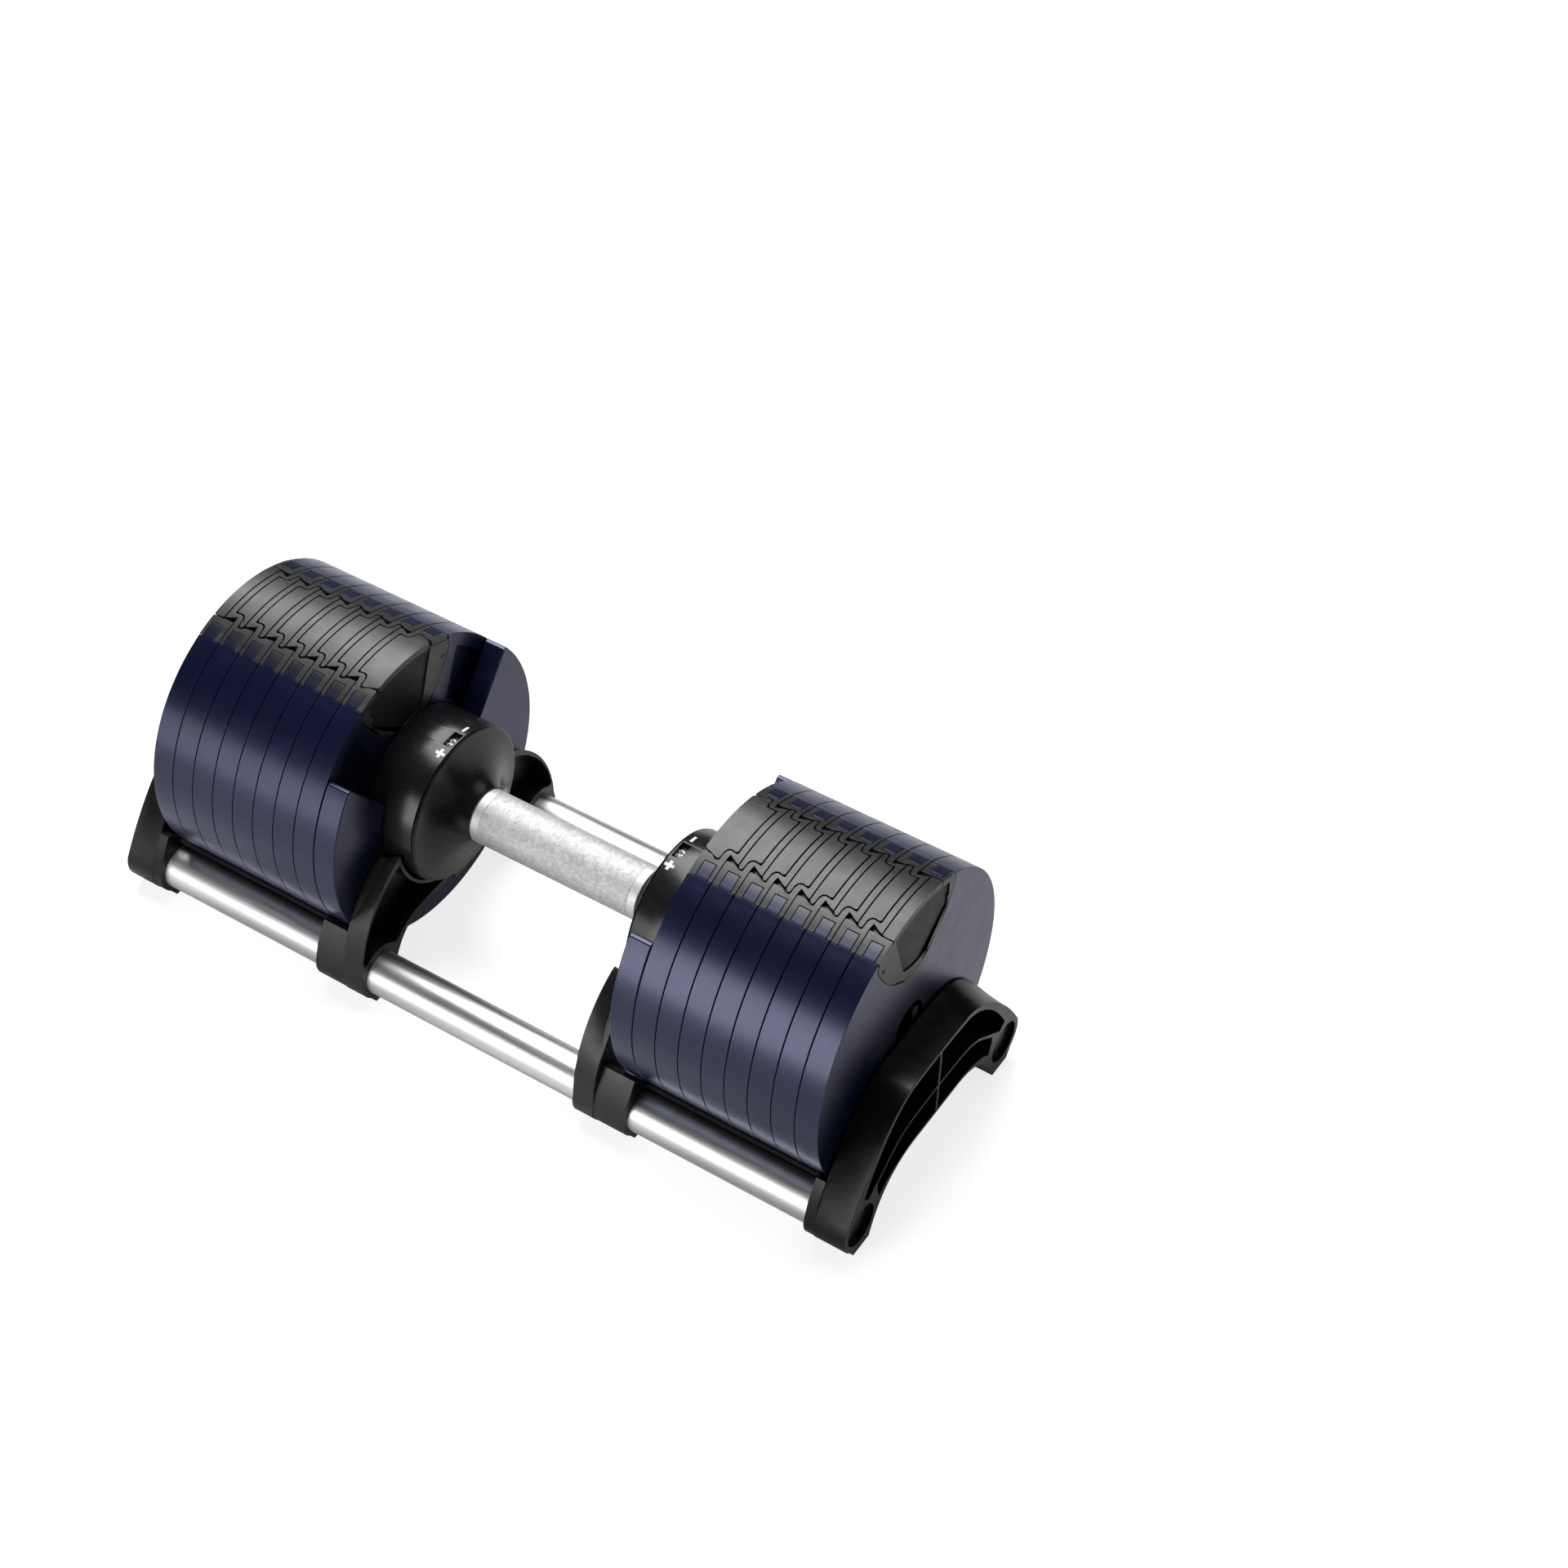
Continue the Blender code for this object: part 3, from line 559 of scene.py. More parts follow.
def frame_shapes(last):
    """Frame of an insert round its two tabs and the strip beyond it, as (x, arc length) outlines."""
    bottom = CORNER * DEGREE
    top = TAB_TOP * DEGREE - 0.4
    if last:
        leg = spread([(0.30, 22.7), (5.4, 22.6), (7.0, 23.0), (13.30, 23.0)])
        leg += [(13.35, bottom), (11.15, bottom), (11.15, top), (3.75, top), (3.75, bottom), (0.30, bottom)]
        return [leg, [(x, -length) for x, length in reversed(leg)]]
    hook = [(0.30, 22.7), (1.0, 22.3), (5.4, 22.6), (7.4, 23.9), (9.0, 24.3), (10.3, 23.6), (10.4, 21.4)]
    hook += [(10.6, 19.2), (11.5, 17.4), (12.9, 16.8), (15.0, 17.1), (16.5, 17.3), (16.95, 16.6)]
    strip_start, strip_end = PITCH + STRIP[0] + 0.1, PITCH + STRIP[1] - 0.2
    lower = [(13.35, 21.6), (PITCH + 0.15, 18.7), (PITCH + 4.4, 20.9), (strip_end, 21.6)]
    # from the strip's left edge at the crown, out along the hook, round the legs and back up
    half = [(strip_start, 0.0)] + spread(reversed(hook)) + [(0.30, bottom), (3.75, bottom)]
    half += [(3.75, top), (11.15, top), (11.15, bottom), (13.35, bottom)]
    half += spread(lower) + [(strip_end, 0.0)]
    return [both_sides(half)]


def cover_outline(first, last):
    """Cover panel of an insert, with the hooked ends."""
    start = [(7.1, 21.8), (STRIP[1] + 0.6, 20.0), (STRIP[1] + 0.6, 0.0)]
    if first:
        start = [(5.0, 22.0), (1.2, 20.9), (0.25, 19.8), (0.25, 0.0)]
    if last:
        return both_sides(spread([(13.25, 0.0), (13.25, 22.2), (9.0, 22.3)] + start))
    edge = PITCH + STRIP[0] - 0.75
    hook = [(15.0, 16.3), (12.9, 15.9), (11.0, 16.5), (9.9, 18.5), (9.75, 21.3), (9.5, 22.9), (8.2, 23.2)]
    return both_sides(spread([(edge, 0.0), (edge, 15.7)] + hook + start))


def dome(mesh, x, y, z, radius, height, side):
    """Shallow rivet head on a face that looks along X."""
    rings = []
    steps = 5
    for step in range(steps):
        angle = math.radians(90.0 * step / steps)
        outline = circle(radius * math.cos(angle), 20, (y, z))
        rings.append(ring(mesh, x + side * height * math.sin(angle), outline))
    for first, second in zip(rings, rings[1:]):
        skin(mesh, first, second)
    mesh.faces.new(rings[-1])
    mesh.faces.new(rings[0])


def build_plates():
    """Full plates with their steel tabs, and the inserts that sit in their notches."""
    plain, tabbed = plate_loops()
    bore = circle(BORE, 64)
    pocket_depth = 2.4
    for side, label in SIDES:
        for number in range(1, PLATES + 1):
            node = f"{label}_plate_{number}"
            low, high = reach(node)
            stations = [side * x for x in (low, low + TAB[0], low + TAB[1], high)]
            slabs = [[plain, bore], [tabbed, bore], [plain, bore]]
            if number == 1:
                stations.insert(1, side * (low + pocket_depth))
                slabs.insert(0, [plain, bore, face_pocket(1), face_pocket(-1)])
            mesh = stack(stations, slabs)
            piece(f"painted_{node}", mesh, PLATE_PAINT, "dumbbell", [node], 0.32, 2)
            build_insert(side, label, number, low, high)


def sunken(loop, half):
    """Half of the insert outline with the panel's hollow taken out of its rim."""
    lower = [point for point in half if point[1] < PANEL_RIM]
    corner = lower[0]
    body = [p for p in loop if p[0] > 0.0 and p[1] >= 0.0 and (p[0] > corner[0] + 0.3 or p[1] < 40.0)]
    return [PANEL_FOOT] + lower[-2::-1] + [polar(CROWN, angle_of(corner))] + body + [(0.0, NOTCH_FOOT)]


def joined(side, rounded, straight):
    """One outline from two halves; the rounded half lies at y > 0 on the right stack."""
    return [(side * y, z) for y, z in rounded + flipped(reversed(straight[1:-1]))]


def build_insert(side, label, number, low, high):
    """Body with its tab slots, then the frame and cover on its crown, and rivets at the two ends."""
    first, last = number == 1, number == PLATES
    solid, slotted = insert_loops()
    stations = [low, low + 3.7, low + 11.2, high]
    slabs = [[solid], [slotted], [solid]]
    hollow = joined(side, *[sunken(solid, half) for half in panel_halves()])
    if first:
        stations.insert(1, low + PANEL_DEPTH)
        slabs.insert(0, [hollow])
    if last:
        stations.insert(3, high - PANEL_DEPTH)
        slabs.append([hollow])
    mesh = stack([side * x for x in stations], slabs)
    for outline in frame_shapes(last):
        tile(mesh, [(side * (low + x), a) for x, a in outline], TILE_ROOT, FRAME_TOP)
    cover = cover_outline(first, last)
    tile(mesh, [(side * (low + x), a) for x, a in cover], TILE_ROOT, PLATE - 0.02)
    if first or last:
        face, out = (high, side) if last else (low, -side)
        for turn in (-1, 1):
            dome(mesh, side * face, turn * 30.6, 67.0, 1.5, 0.45, out)
    node = f"{label}_insert_{number}"
    piece(f"moulded_{node}", mesh, INSERT, "dumbbell", [node], 0.22, 2)
    if first:
        build_panel(side, f"{label}_{number}", low + 0.75)
    if last:
        build_panel(side, f"{label}_{number}", high - 1.25)


def build_panel(side, label, start):
    """Smoother dark plate that lines the sunken panel."""
    inset, thickness = 0.5, 0.5
    insets = []
    for half in panel_halves():
        lower = [(max(y - inset, 0.0), z + inset) for y, z in half if z < PANEL_RIM]
        insets.append(arc(CROWN - 0.2, 0.0, angle_of(lower[0]), 8) + lower)
    mesh = stack([side * start, side * (start + thickness)], [[joined(side, *insets)]])
    piece(f"face_panel_{label}", mesh, PANEL_DARK, "dumbbell", bevel=0.15)


def build_inner_plates():
    """Open at the top round the housing, with a small chamfer on each horn."""
    inner = 46.3
    outer_corner, inner_corner = (66.8, 54.1), (41.4, 21.2)
    outer_angle, inner_angle = angle_of(outer_corner), angle_of(inner_corner)
    outer = arc(PLATE, outer_angle + 1.3, 358.7 - outer_angle, 130)
    inside = arc(inner, 360.0 - inner_angle, inner_angle, 90)
    shoulder = (outer_corner[0] - 1.4, outer_corner[1] - 1.8)
    outer = [shoulder] + outer + [(-shoulder[0], shoulder[1])]
    for side, label in SIDES:
        node = f"{label}_inner_plate"
        low, high = reach(node)
        mesh = stack([side * low, side * high], [[outer + inside]])
        piece(f"painted_{node}", mesh, PLATE_PAINT, "dumbbell", [node], 0.7, 3)


# --- handle and housings --------------------------------------------------------

def build_grip():
    """Sleeve with a groove inside each smooth collar and thinner tails inside the cones."""
    end, start = GRIP_END, GRIP_END - COLLAR
    tail, tail_radius = 66.5, 14.6
    half = [(tail, 12.9), (tail, tail_radius), (end, tail_radius)]
    half += [(end, GRIP_RADIUS - 0.5), (end - 0.5, GRIP_RADIUS)]
    half += [(start + 0.25, GRIP_RADIUS), (start + 0.1, GRIP_RADIUS - 0.18)]
    half += [(start - 0.1, GRIP_RADIUS - 0.18), (start - 0.25, GRIP_RADIUS - 0.02)]
    profile = half + [(-x, r) for x, r in reversed(half)]
    mesh = lathe(profile, 128)
    piece("knurled_grip_sleeve", mesh, KNURL, "grip", ["grip_sleeve"], angle=30.0)


def build_cones():
    """Concave shells with a rounded rim."""
    throat = (GRIP_END + 0.4, GRIP_RADIUS + 0.6)
    front = [(throat[0], 15.0), (throat[0], throat[1] - 0.3), throat]
    front += bezier(throat, (58.0, 18.4), (65.6, 29.0), (67.4, 43.3), 40)
    front += [(67.55, 44.3), (67.8, 44.75), (68.1, 44.9), (68.3, 44.7)]
    back = [(68.3, 42.7), (67.4, 37.5), (64.4, 27.5), (62.6, 22.5), (66.9, 18.5), (66.9, 15.0)]
    for side, label in SIDES:
        mesh = lathe([(side * x, r) for x, r in front + back], 160)
        piece(f"glossy_{label}_cone", mesh, GLOSS, "grip", [f"{label}_cone"], angle=35.0)


def housing_profile(outer):
    """Cup that is open towards the cone, as (x, radius)."""
    start, end = reach("right_housing")
    wall, floor = outer - 2.6, end - 2.8
    profile = [(start, wall), (start, outer - 0.5), (start + 0.15, outer - 0.15), (start + 0.5, outer)]
    profile += [(end - 0.6, outer), (end - 0.15, outer - 0.2), (end, outer - 0.6)]
    return profile + [(end, BORE), (floor, BORE), (floor, wall)]


def box(name, x, y, z):
    """A plain cutting block between two corners, in millimetres."""
    mesh = bmesh.new()
    x = [value + SEAT_X * PER_METRE for value in x]
    outline = [(y[0], z[0]), (y[1], z[0]), (y[1], z[1]), (y[0], z[1])]
    rings = [ring(mesh, value, outline) for value in x]
    skin(mesh, *rings)
    for verts in rings:
        mesh.faces.new(verts)
    bmesh.ops.recalc_face_normals(mesh, faces=mesh.faces[:])
    data = bpy.data.meshes.new(name)
    mesh.to_mesh(data)
    mesh.free()
    item = bpy.data.objects.new(name, data)
    bpy.context.scene.collection.objects.link(item)
    return item


def carve(item, cutters, bevel):
    """Cut blocks out of a piece, round the edges and keep the result as its mesh."""
    for cutter in cutters:
        boolean = item.modifiers.new("cut", "BOOLEAN")
        boolean.operation = "DIFFERENCE"
        boolean.solver = "EXACT"
        boolean.object = cutter
    rounding = item.modifiers.new("rounding", "BEVEL")
    rounding.width = bevel * MM
    rounding.segments = 2
    rounding.limit_method = "ANGLE"
    rounding.angle_limit = math.radians(50.0)
    bpy.context.view_layer.update()
    graph = bpy.context.evaluated_depsgraph_get()
    data = bpy.data.meshes.new_from_object(item.evaluated_get(graph), depsgraph=graph)
    item.modifiers.clear()
    item.data = data
    data.shade_smooth()
    data.set_sharp_from_angle(angle=math.radians(35.0))
    for cutter in cutters:
        bpy.data.objects.remove(cutter, do_unlink=True)


WINDOW = (70.0, 75.0)
WINDOW_MIDDLE = sum(WINDOW) / 2.0
HOLE = 2.9              # half width of the hole for the plunger
SETTINGS = 16
HEAVIEST = 32


def build_housings():
    """Housings with the number window, its two marks and the hole that the plunger passes through."""
    outer = span("right_housing")[1].y
    profile = housing_profile(outer)
    for side, label in SIDES:
        mesh = lathe([(side * x, r) for x, r in profile], 160)
        node = f"{label}_housing"
        item = piece(f"glossy_{node}", mesh, GLOSS, "dumbbell", [node])
        window = box("window", sorted(side * x for x in WINDOW), (-5.6, 5.6), (30.0, 60.0))
        low, high = span(f"{label}_lock_plunger")
        middle = (low.x + high.x) / 2.0 - SEAT_X * PER_METRE
        hole = box("hole", (middle - HOLE, middle + HOLE), (-HOLE, HOLE), (-60.0, -30.0))
        carve(item, [window, hole], 0.18)
        marks = bmesh.new()
        for arc_centre, width, length in ((-11.2, 5.6, 1.8), (-11.2, 1.8, 5.6), (10.8, 1.5, 5.4)):
            wrap_bar(marks, side * WINDOW_MIDDLE, arc_centre, width, length, outer + 0.02)
        piece(f"marks_{node}", marks, WHITE, "dumbbell")
        build_dial(side, label)


def wrap_bar(mesh, x, arc_centre, width, length, radius):
    """A thin printed bar laid round the housing: width along X, length round it."""
    steps = 6
    thickness = 0.06
    rows = []
    for height in (radius, radius + thickness):
        loop = []
        for end in (-1, 1):
            for step in range(steps + 1):
                angle = (arc_centre + end * length * (step / steps - 0.5)) / radius
                place = at(x + end * width / 2.0, height * math.sin(angle), height * math.cos(angle))
                loop.append(mesh.verts.new(place))
        rows.append(loop)
    skin(mesh, *rows)
    for loop in rows:
        for index in range(steps):
            mesh.faces.new((loop[index], loop[index + 1], loop[-2 - index], loop[-1 - index]))


def text_points(text, size):
    """Vertices and faces of a thin number centred on its middle, in millimetres."""
    curve = bpy.data.curves.new("number", "FONT")
    curve.body = text
    curve.size = size
    curve.align_x = "CENTER"
    curve.align_y = "CENTER"
    curve.extrude = 0.04
    curve.resolution_u = 3
    curve.offset = 0.02 * size
    item = bpy.data.objects.new("number", curve)
    bpy.context.scene.collection.objects.link(item)
    bpy.context.view_layer.update()
    graph = bpy.context.evaluated_depsgraph_get()
    data = bpy.data.meshes.new_from_object(item.evaluated_get(graph))
    points = [v.co.copy() for v in data.vertices]
    faces = [list(p.vertices) for p in data.polygons]
    bpy.data.objects.remove(item, do_unlink=True)
    bpy.data.meshes.remove(data)
    return points, faces


def build_dial(side, label):
    """Black ring behind the window with the sixteen weights round it."""
    node = f"{label}_number_ring"
    start, end = reach(node)
    radius = span(node)[1].y
    edge, wall = 0.2, 2.0
    profile = [(start, radius - wall), (start, radius - edge), (start + edge, radius)]
    profile += [(end - edge, radius), (end, radius - edge), (end, radius - wall)]
    mesh = lathe([(side * x, r) for x, r in profile], 128)
    piece(f"dial_{label}_ring", mesh, DIAL, "grip", [node], angle=35.0)
    digits = bmesh.new()
    for step in range(SETTINGS):
        points, faces = text_points(str(HEAVIEST * (SETTINGS - step) // SETTINGS), 6.3)
        middle = math.radians(360.0 * step / SETTINGS)
        verts = []
        for p in points:
            angle = middle + p.x / radius
            height = radius + 0.08 + p.z
            place = at(side * WINDOW_MIDDLE - p.y, height * math.sin(angle), height * math.cos(angle))
            verts.append(digits.verts.new(place))
        for face in faces:
            digits.faces.new([verts[index] for index in face])
    piece(f"numbers_{label}_ring", digits, WHITE, "grip")


# --- cradle ---------------------------------------------------------------------

RAIL_AT = (RAIL.y, RAIL.z)
BOSS = 15.7
FOOT = (63.0, 78.0)
HORN_INSET = 0.3        # how far a foot's rear part stands back from its front part
SEAT = 47.5             # radius of the saddles that the housings rest in
SADDLE_FACE = 68.9      # a saddle's front, behind the small block on its lip
SADDLE_WALL = 81.6      # where a saddle's sloping front ends


def foot_half(shoulder, arch):
    """From the end of a shoulder round the rail boss, across the foot and up to the arch."""
    boss = arc(BOSS, 70.0, 140.0, 10, RAIL_AT)
    points = bezier(*shoulder, boss[0], 18) + boss[1:]
    points += [(FOOT[1], FLOOR), (FOOT[0], FLOOR)]
    return points + bezier((FOOT[0], FLOOR), *arch, 20)


def horn_outline():
    """The part of a foot that reaches under the plates, for y > 0."""
    floor = FLOOR + HORN_INSET
    top = (77.0, -45.0)
    points = [top, (84.0, -57.0)] + arc(BOSS - HORN_INSET, 70.0, 140.0, 8, RAIL_AT)
    points += [(FOOT[1] - HORN_INSET, floor), (FOOT[0] + HORN_INSET, floor), (61.8, -82.6)]
    return points + arc(PLATE + 0.6, angle_of((56.0, -70.0)), angle_of(top), 14)[:-1]


def bracket_mesh(stations, outlines, back, pockets, depth, blind):
    """Loft through the stations from the open face to the wall, with horns behind.

    blind is where the rail sockets end, seen from the back; a shallow cup shows on the face.
    """
    mesh = bmesh.new()
    rings = [ring(mesh, x, outline) for x, outline in zip(stations, outlines)]
    for first, second in zip(rings, rings[1:]):
        skin(mesh, first, second)
    face, wall = stations[0], stations[-1]
    face_holes, wall_holes = [], []
    for turn in (1, -1):
        horn = [(turn * y, z) for y, z in horn_outline()]
        middle = (turn * RAIL.y, RAIL.z)
        socket = circle(RAIL_RADIUS + 0.35, 48, middle)
        inner = ring(mesh, back, socket)
        if blind is None:
            mouth = ring(mesh, face, socket)
            skin(mesh, mouth, inner)
        else:
            floor = ring(mesh, blind, socket)
            skin(mesh, floor, inner)
            mesh.faces.new(floor)
            cup = circle(RAIL_RADIUS - 0.1, 48, middle)
            mouth = ring(mesh, face, cup)
            cup_floor = ring(mesh, blind + math.copysign(0.4, face - wall), cup)
            skin(mesh, mouth, cup_floor)
            mesh.faces.new(cup_floor)
        foot = ring(mesh, wall, horn)
        foot_end = ring(mesh, back, horn)
        skin(mesh, foot, foot_end)
        cap(mesh, foot_end, inner)
        face_holes.append(mouth)
        wall_holes.append(foot)
    for outline in pockets:
        mouth = ring(mesh, face, outline)
        floor = ring(mesh, face + math.copysign(depth, wall - face), outline)
        skin(mesh, mouth, floor)
        cap(mesh, floor)
        face_holes.append(mouth)
    cap(mesh, rings[0], *face_holes)
    cap(mesh, rings[-1], *wall_holes)
    return mesh


def end_outline(lift):
    """End bracket outline; its shoulders rise by lift from the open face to the wall."""
    crown = -7.0 + lift * 0.5
    start = (28.0, crown - 0.5)
    shoulder = (start, (50.0, -12.0 + lift), (72.0, -40.0 + lift))
    arch = ((58.0, -76.0), (48.0, -57.0), (22.0, -56.5))
    top = [(y, crown - 0.5 * (y / 28.0) ** 2) for y in (0.0, 7.0, 14.0, 21.0, 28.0)]
    half = top + foot_half(shoulder, arch) + [(11.0, -56.5), (0.0, -56.5)]
    return mirrored(half)


def end_pockets():
    """The two hollows between the ribs of an end bracket's open face, for y > 0."""
    upper = [(0.9, -9.6), (14.0, -9.8), (27.0, -10.6)]
    upper += bezier(upper[-1], (44.5, -13.6), (61.5, -35.5), (70.6, -53.2), 12)
    upper += [(66.0, -57.0), (60.0, -52.6), (54.0, -48.4), (48.0, -43.9), (42.0, -39.6)]
    upper += [(34.0, -36.4), (26.0, -34.9), (13.0, -34.3), (0.9, -34.1)]
    lower = [(0.9, -35.7), (13.0, -35.9), (26.0, -36.5), (34.0, -38.0), (41.2, -41.2), (47.0, -45.3)]
    lower += [(53.0, -50.1), (57.4, -53.4), (57.6, -58.2), (55.0, -66.0)]
    lower += bezier(lower[-1], (49.0, -59.5), (36.0, -55.2), (22.0, -54.6), 8)
    lower += [(0.9, -54.6)]
    return upper, lower


def saddle_outline(corner_y, corner_z):
    """Saddle bracket outline, open round the housing, with its corner at the given point."""
    seat = arc(SEAT, 180.0, angle_of((math.sqrt(SEAT ** 2 - corner_z ** 2), corner_z)), 30)
    shoulder = ((corner_y, corner_z), (66.0, corner_z - 8.0), (86.0, -34.0))
    arch = ((60.0, -76.0), (54.0, -52.0), (28.0, -51.8))
    half = seat + [(corner_y, corner_z)] + foot_half(shoulder, arch) + [(14.0, -51.8), (0.0, -51.8)]
    return mirrored(half)


def saddle_pocket():
    """The hollow between the rim of a saddle and its rail boss, for y > 0."""
    seat = arc(SEAT + 1.8, angle_of((15.0, -46.9)), 101.0, 16)
    outer = bezier(seat[-1], (51.5, -9.5), (64.5, -15.0), (75.4, -31.4), 10)
    outer += bezier(outer[-1], (80.4, -39.5), (83.8, -48.0), (84.6, -56.6), 6)
    boss_edge = arc(17.4, 35.0, -42.0, 8, RAIL_AT)
    arch = [(57.5, -60.6), (52.0, -56.8), (46.0, -53.6), (40.0, -51.7), (30.0, -50.3), (15.0, -49.9)]
    return seat + outer + boss_edge + arch


def build_end_bracket(side, label):
    node = f"{label}_end_bracket"
    back, face = reach(node)
    wall = back + 5.8
    shares = (0.0, 0.06, 0.2, 0.4, 0.6, 0.8, 0.94, 1.0)
    stations = [side * (face + (wall - face) * share) for share in shares]
    outlines = [end_outline(8.0 * share ** 1.5) for share in shares]
    pockets = list(end_pockets())
    pockets += [flipped(loop) for loop in pockets]
    mesh = bracket_mesh(stations, outlines, side * back, pockets, 15.0, side * (face - 3.4))
    piece(f"moulded_{node}", mesh, BRACKET, "cradle", [node], 0.25, 2, 40.0)


def build_saddle_bracket(side, label):
    """Saddle whose front slopes back from the face, with a small block on its inner lip."""
    node = f"{label}_saddle_bracket"
    back = reach(node)[1]
    shares = (0.0, 0.1, 0.3, 0.55, 0.8, 1.0)
    stations = [side * (SADDLE_FACE + (SADDLE_WALL - SADDLE_FACE) * share) for share in shares]
    outlines = [saddle_outline(49.0 + 1.5 * share, -4.0 - 8.5 * share ** 1.2) for share in shares]
    pockets = [saddle_pocket(), flipped(saddle_pocket())]
    mesh = bracket_mesh(stations, outlines, side * back, pockets, 13.0, None)
    piece(f"moulded_{node}", mesh, SADDLE, "cradle", [node], 0.4, 2, 40.0)
    near, far = side * 3.0 - 5.0, side * 3.0 + 5.0
    block = [(near, -53.0), (far, -53.0), (far, -47.6), (near, -47.6)]
    post = stack([side * (SADDLE_FACE - 2.5), side * (SADDLE_FACE + 0.5)], [[block]])
    piece(f"saddle_post_{label}", post, SADDLE, "cradle", bevel=0.5, segments=3)


def build_brackets():
    for side, label in SIDES:
        build_end_bracket(side, label)
        build_saddle_bracket(side, label)


def build_rails():
    """Hollow tubes that run through the saddles into the end brackets."""
    for turn, label in ((-1, "front"), (1, "rear")):
        node = f"{label}_rail"
        start, end = span(node)
        centre = (turn * RAIL.y, RAIL.z)
        mesh = stack([start.x, end.x], [[circle(RAIL_RADIUS, 96, centre), circle(RAIL_BORE, 64, centre)]])
        piece(f"aluminium_{node}", mesh, RAIL_METAL, "cradle", [node], 0.4, 2)


def build_trays():
    """Curved liners under the two stacks."""
    for side, label in SIDES:
        node = f"{label}_plate_tray"
        low, high = reach(node)
        outline = arc(88.7, 128.0, 232.0, 60) + arc(86.5, 232.0, 128.0, 60)
        mesh = stack([side * low, side * high], [[outline]])
        piece(f"moulded_{node}", mesh, LINER, "cradle", [node], 0.3, 2)


def build_springs():
    """Return springs, copied from their CAD shape into meshes of their own; on the real dumbbell they
    shorten towards their fixed top as the plungers are pressed.
    """
    for _, label in SIDES:
        node = f"{label}_plunger_spring"
        mesh = bmesh.new()
        mesh.from_mesh(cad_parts[node].data)
        mesh.transform(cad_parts[node].matrix_world)
        bmesh.ops.translate(mesh, vec=(-SEAT_X, 0.0, 0.0), verts=mesh.verts[:])
        item = piece(f"wound_{node}", mesh, STEEL, "dumbbell", [node])
        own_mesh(item)


def paint_hidden_parts():
    """The gear train keeps its CAD shape and gets a machined finish."""
    kinds = ("face_gear", "pinion", "lock_bar", "lock_plunger")
    names = ["bar_guide_tube"] + [f"{label}_{kind}" for _, label in SIDES for kind in kinds]
    for name in names:
        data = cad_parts[name].data
        data.materials.clear()
        data.materials.append(STEEL)


# --- stage ----------------------------------------------------------------------

def softbox(name, location, size, power, target):
    """A rectangular area light aimed at a point."""
    light = bpy.data.lights.new(name, "AREA")
    light.shape = "RECTANGLE"
    light.size, light.size_y = size
    light.energy = power
    item = bpy.data.objects.new(name, light)
    item.location = location
    item.rotation_euler = (Vector(target) - Vector(location)).to_track_quat("-Z", "Y").to_euler()
    bpy.context.scene.collection.objects.link(item)


def build_floor():
    """Pale paper that looks white but throws little light back on the object."""
    mesh = bmesh.new()
    size = 6.0
    corners = ((-1, -1), (1, -1), (1, 1), (-1, 1))
    mesh.faces.new([mesh.verts.new((x * size, y * size, 0.0)) for x, y in corners])
    data = bpy.data.meshes.new("floor")
    mesh.to_mesh(data)
    mesh.free()
    floor = bpy.data.objects.new("floor", data)
    bpy.context.scene.collection.objects.link(floor)
    paper = Paint("floor_paper", (0.56, 0.56, 0.56), 0.80)
    paper.mottle(3.0, (0.57, 0.57, 0.57), 0.0, 1.0)
    paper.shader.inputs["Emission Color"].default_value = (1.0, 1.0, 1.0, 1.0)
    seen = paper.nodes.new("ShaderNodeLightPath").outputs["Is Camera Ray"]
    glow = paper.remap(seen, 0.12, 0.80, 0.0, 1.0)
    paper.links.new(glow, paper.shader.inputs["Emission Strength"])
    data.materials.append(paper.material)


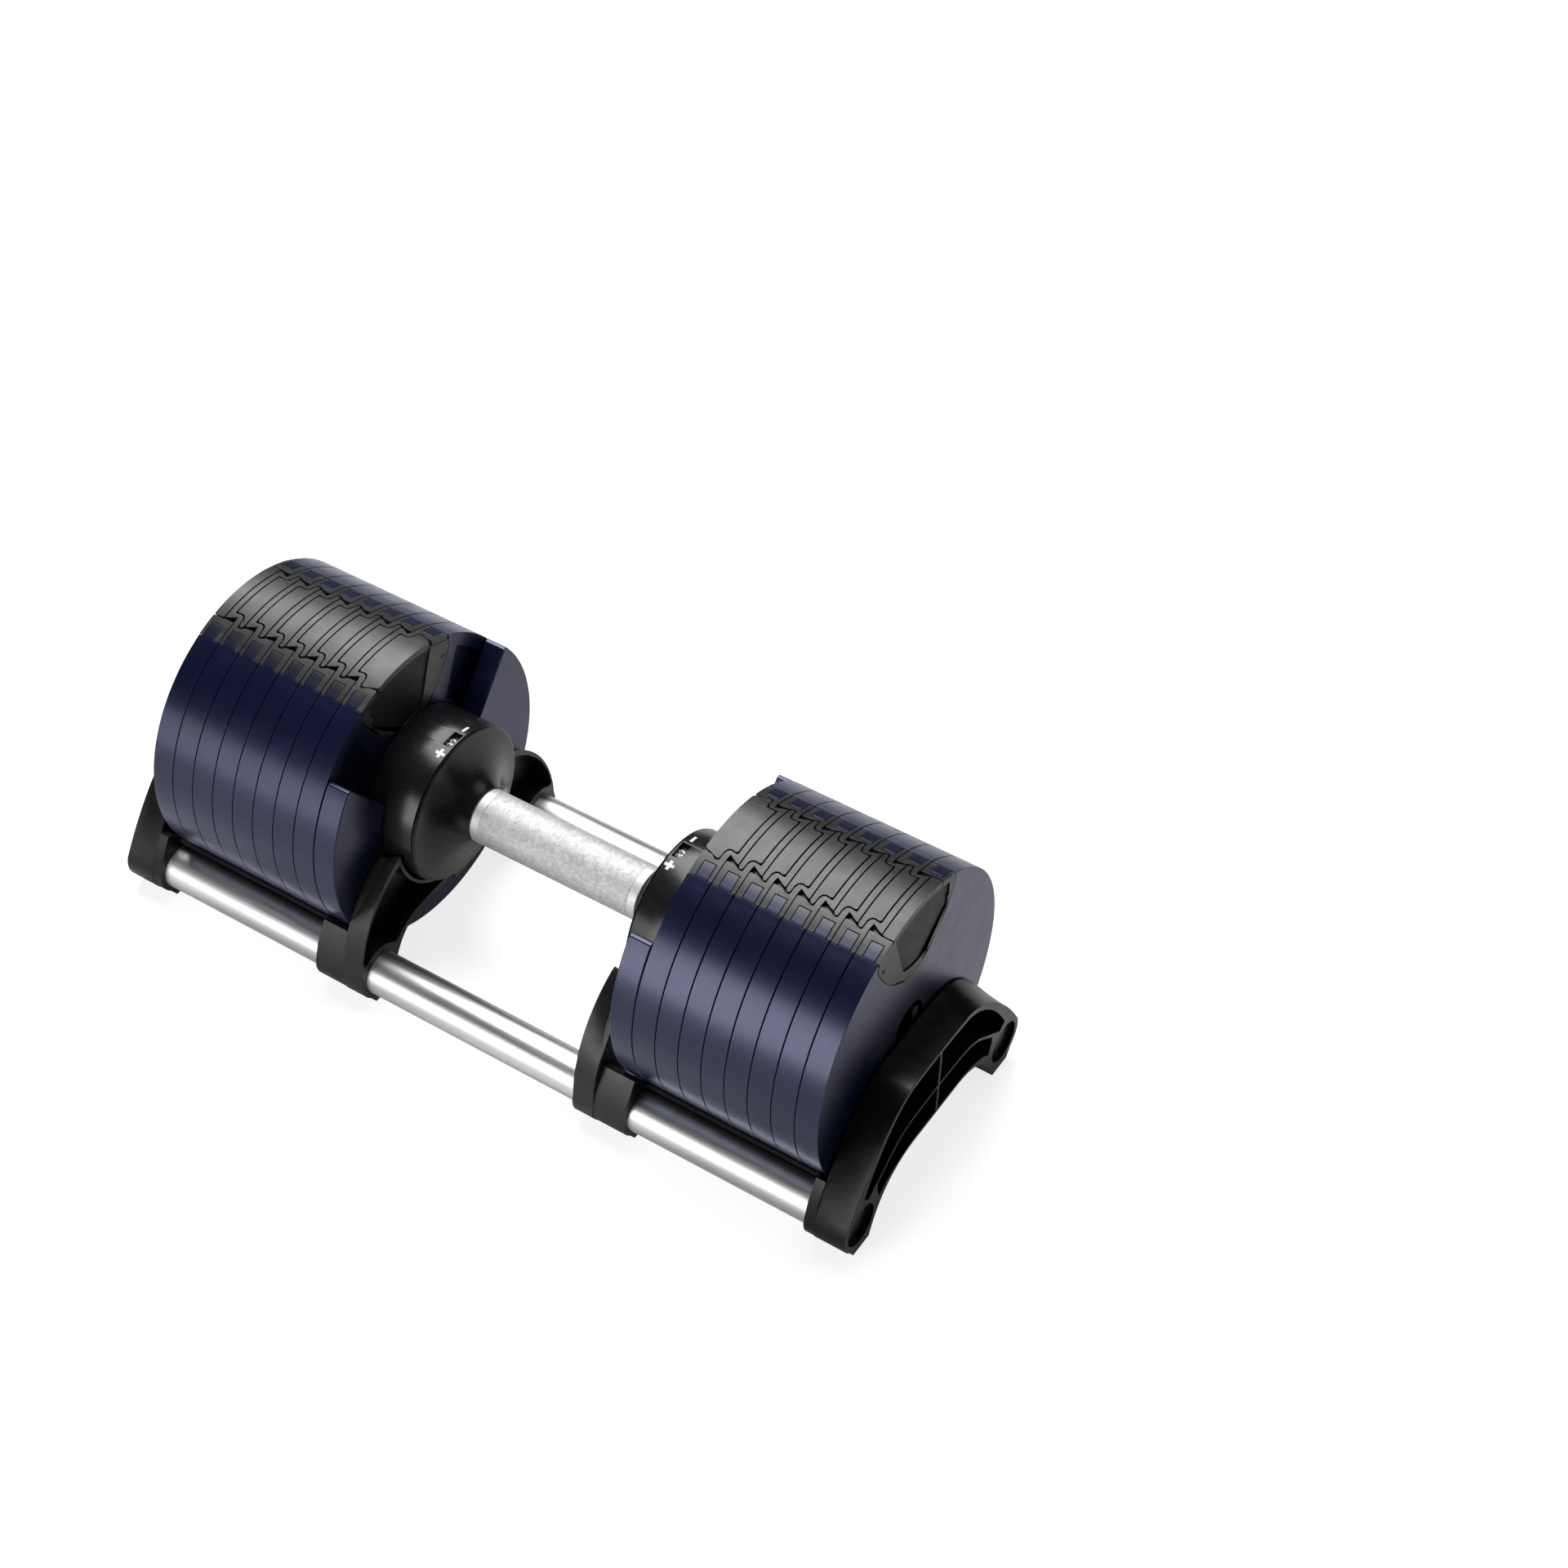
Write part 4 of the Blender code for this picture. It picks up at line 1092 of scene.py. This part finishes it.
def build_world():
    """A surround that looks near white but lights the object faintly."""
    world = bpy.data.worlds.new("studio")
    world.use_nodes = True
    nodes, links = world.node_tree.nodes, world.node_tree.links
    background = nodes["Background"]
    background.inputs["Color"].default_value = (1.0, 1.0, 1.0, 1.0)
    strength = nodes.new("ShaderNodeMapRange")
    strength.inputs["To Min"].default_value = 0.022
    strength.inputs["To Max"].default_value = 0.90
    rays = nodes.new("ShaderNodeLightPath")
    links.new(rays.outputs["Is Camera Ray"], strength.inputs["Value"])
    links.new(strength.outputs["Result"], background.inputs["Strength"])
    bpy.context.scene.world = world


def build_lights():
    """Soft boxes above, in front, at the left and behind."""
    softbox("top_box", (-0.42, 0.50, 1.32), (0.85, 1.44), 28.0, (0.0, 0.05, 0.1))
    softbox("front_box", (-0.15, -0.98, 0.31), (0.46, 0.60), 4.2, (0.14, -0.06, 0.12))
    softbox("side_box", (-0.65, -0.95, 0.20), (0.50, 0.44), 1.8, (-0.15, -0.06, 0.12))
    softbox("back_box", (0.80, 0.70, 0.70), (0.60, 0.60), 1.2, (0.25, 0.05, 0.0))


def build_camera():
    """The photograph's viewpoint, with colours shown as they are."""
    azimuth, elevation, roll = math.radians(31.26), math.radians(44.50), math.radians(2.0)
    back = Vector((
        math.sin(azimuth) * math.cos(elevation),
        -math.cos(azimuth) * math.cos(elevation),
        math.sin(elevation),
    ))
    right = Vector((math.cos(azimuth), math.sin(azimuth), 0.0))
    up = back.cross(right)
    turned_right = right * math.cos(roll) + up * math.sin(roll)
    turned_up = up * math.cos(roll) - right * math.sin(roll)
    matrix = Matrix((turned_right, turned_up, back)).transposed().to_4x4()
    matrix.translation = Vector((0.6439 + SEAT_X, -0.8437, 1.1850))
    lens = bpy.data.cameras.new("camera")
    lens.sensor_width = 36.0
    lens.lens = 66.24
    camera = bpy.data.objects.new("camera", lens)
    camera.matrix_world = matrix
    bpy.context.scene.collection.objects.link(camera)
    bpy.context.scene.camera = camera
    bpy.context.scene.view_settings.view_transform = "Standard"


build_plates()
build_inner_plates()
build_grip()
build_cones()
build_housings()
build_brackets()
build_rails()
build_trays()
build_springs()
paint_hidden_parts()
build_floor()
build_world()
build_lights()
build_camera()
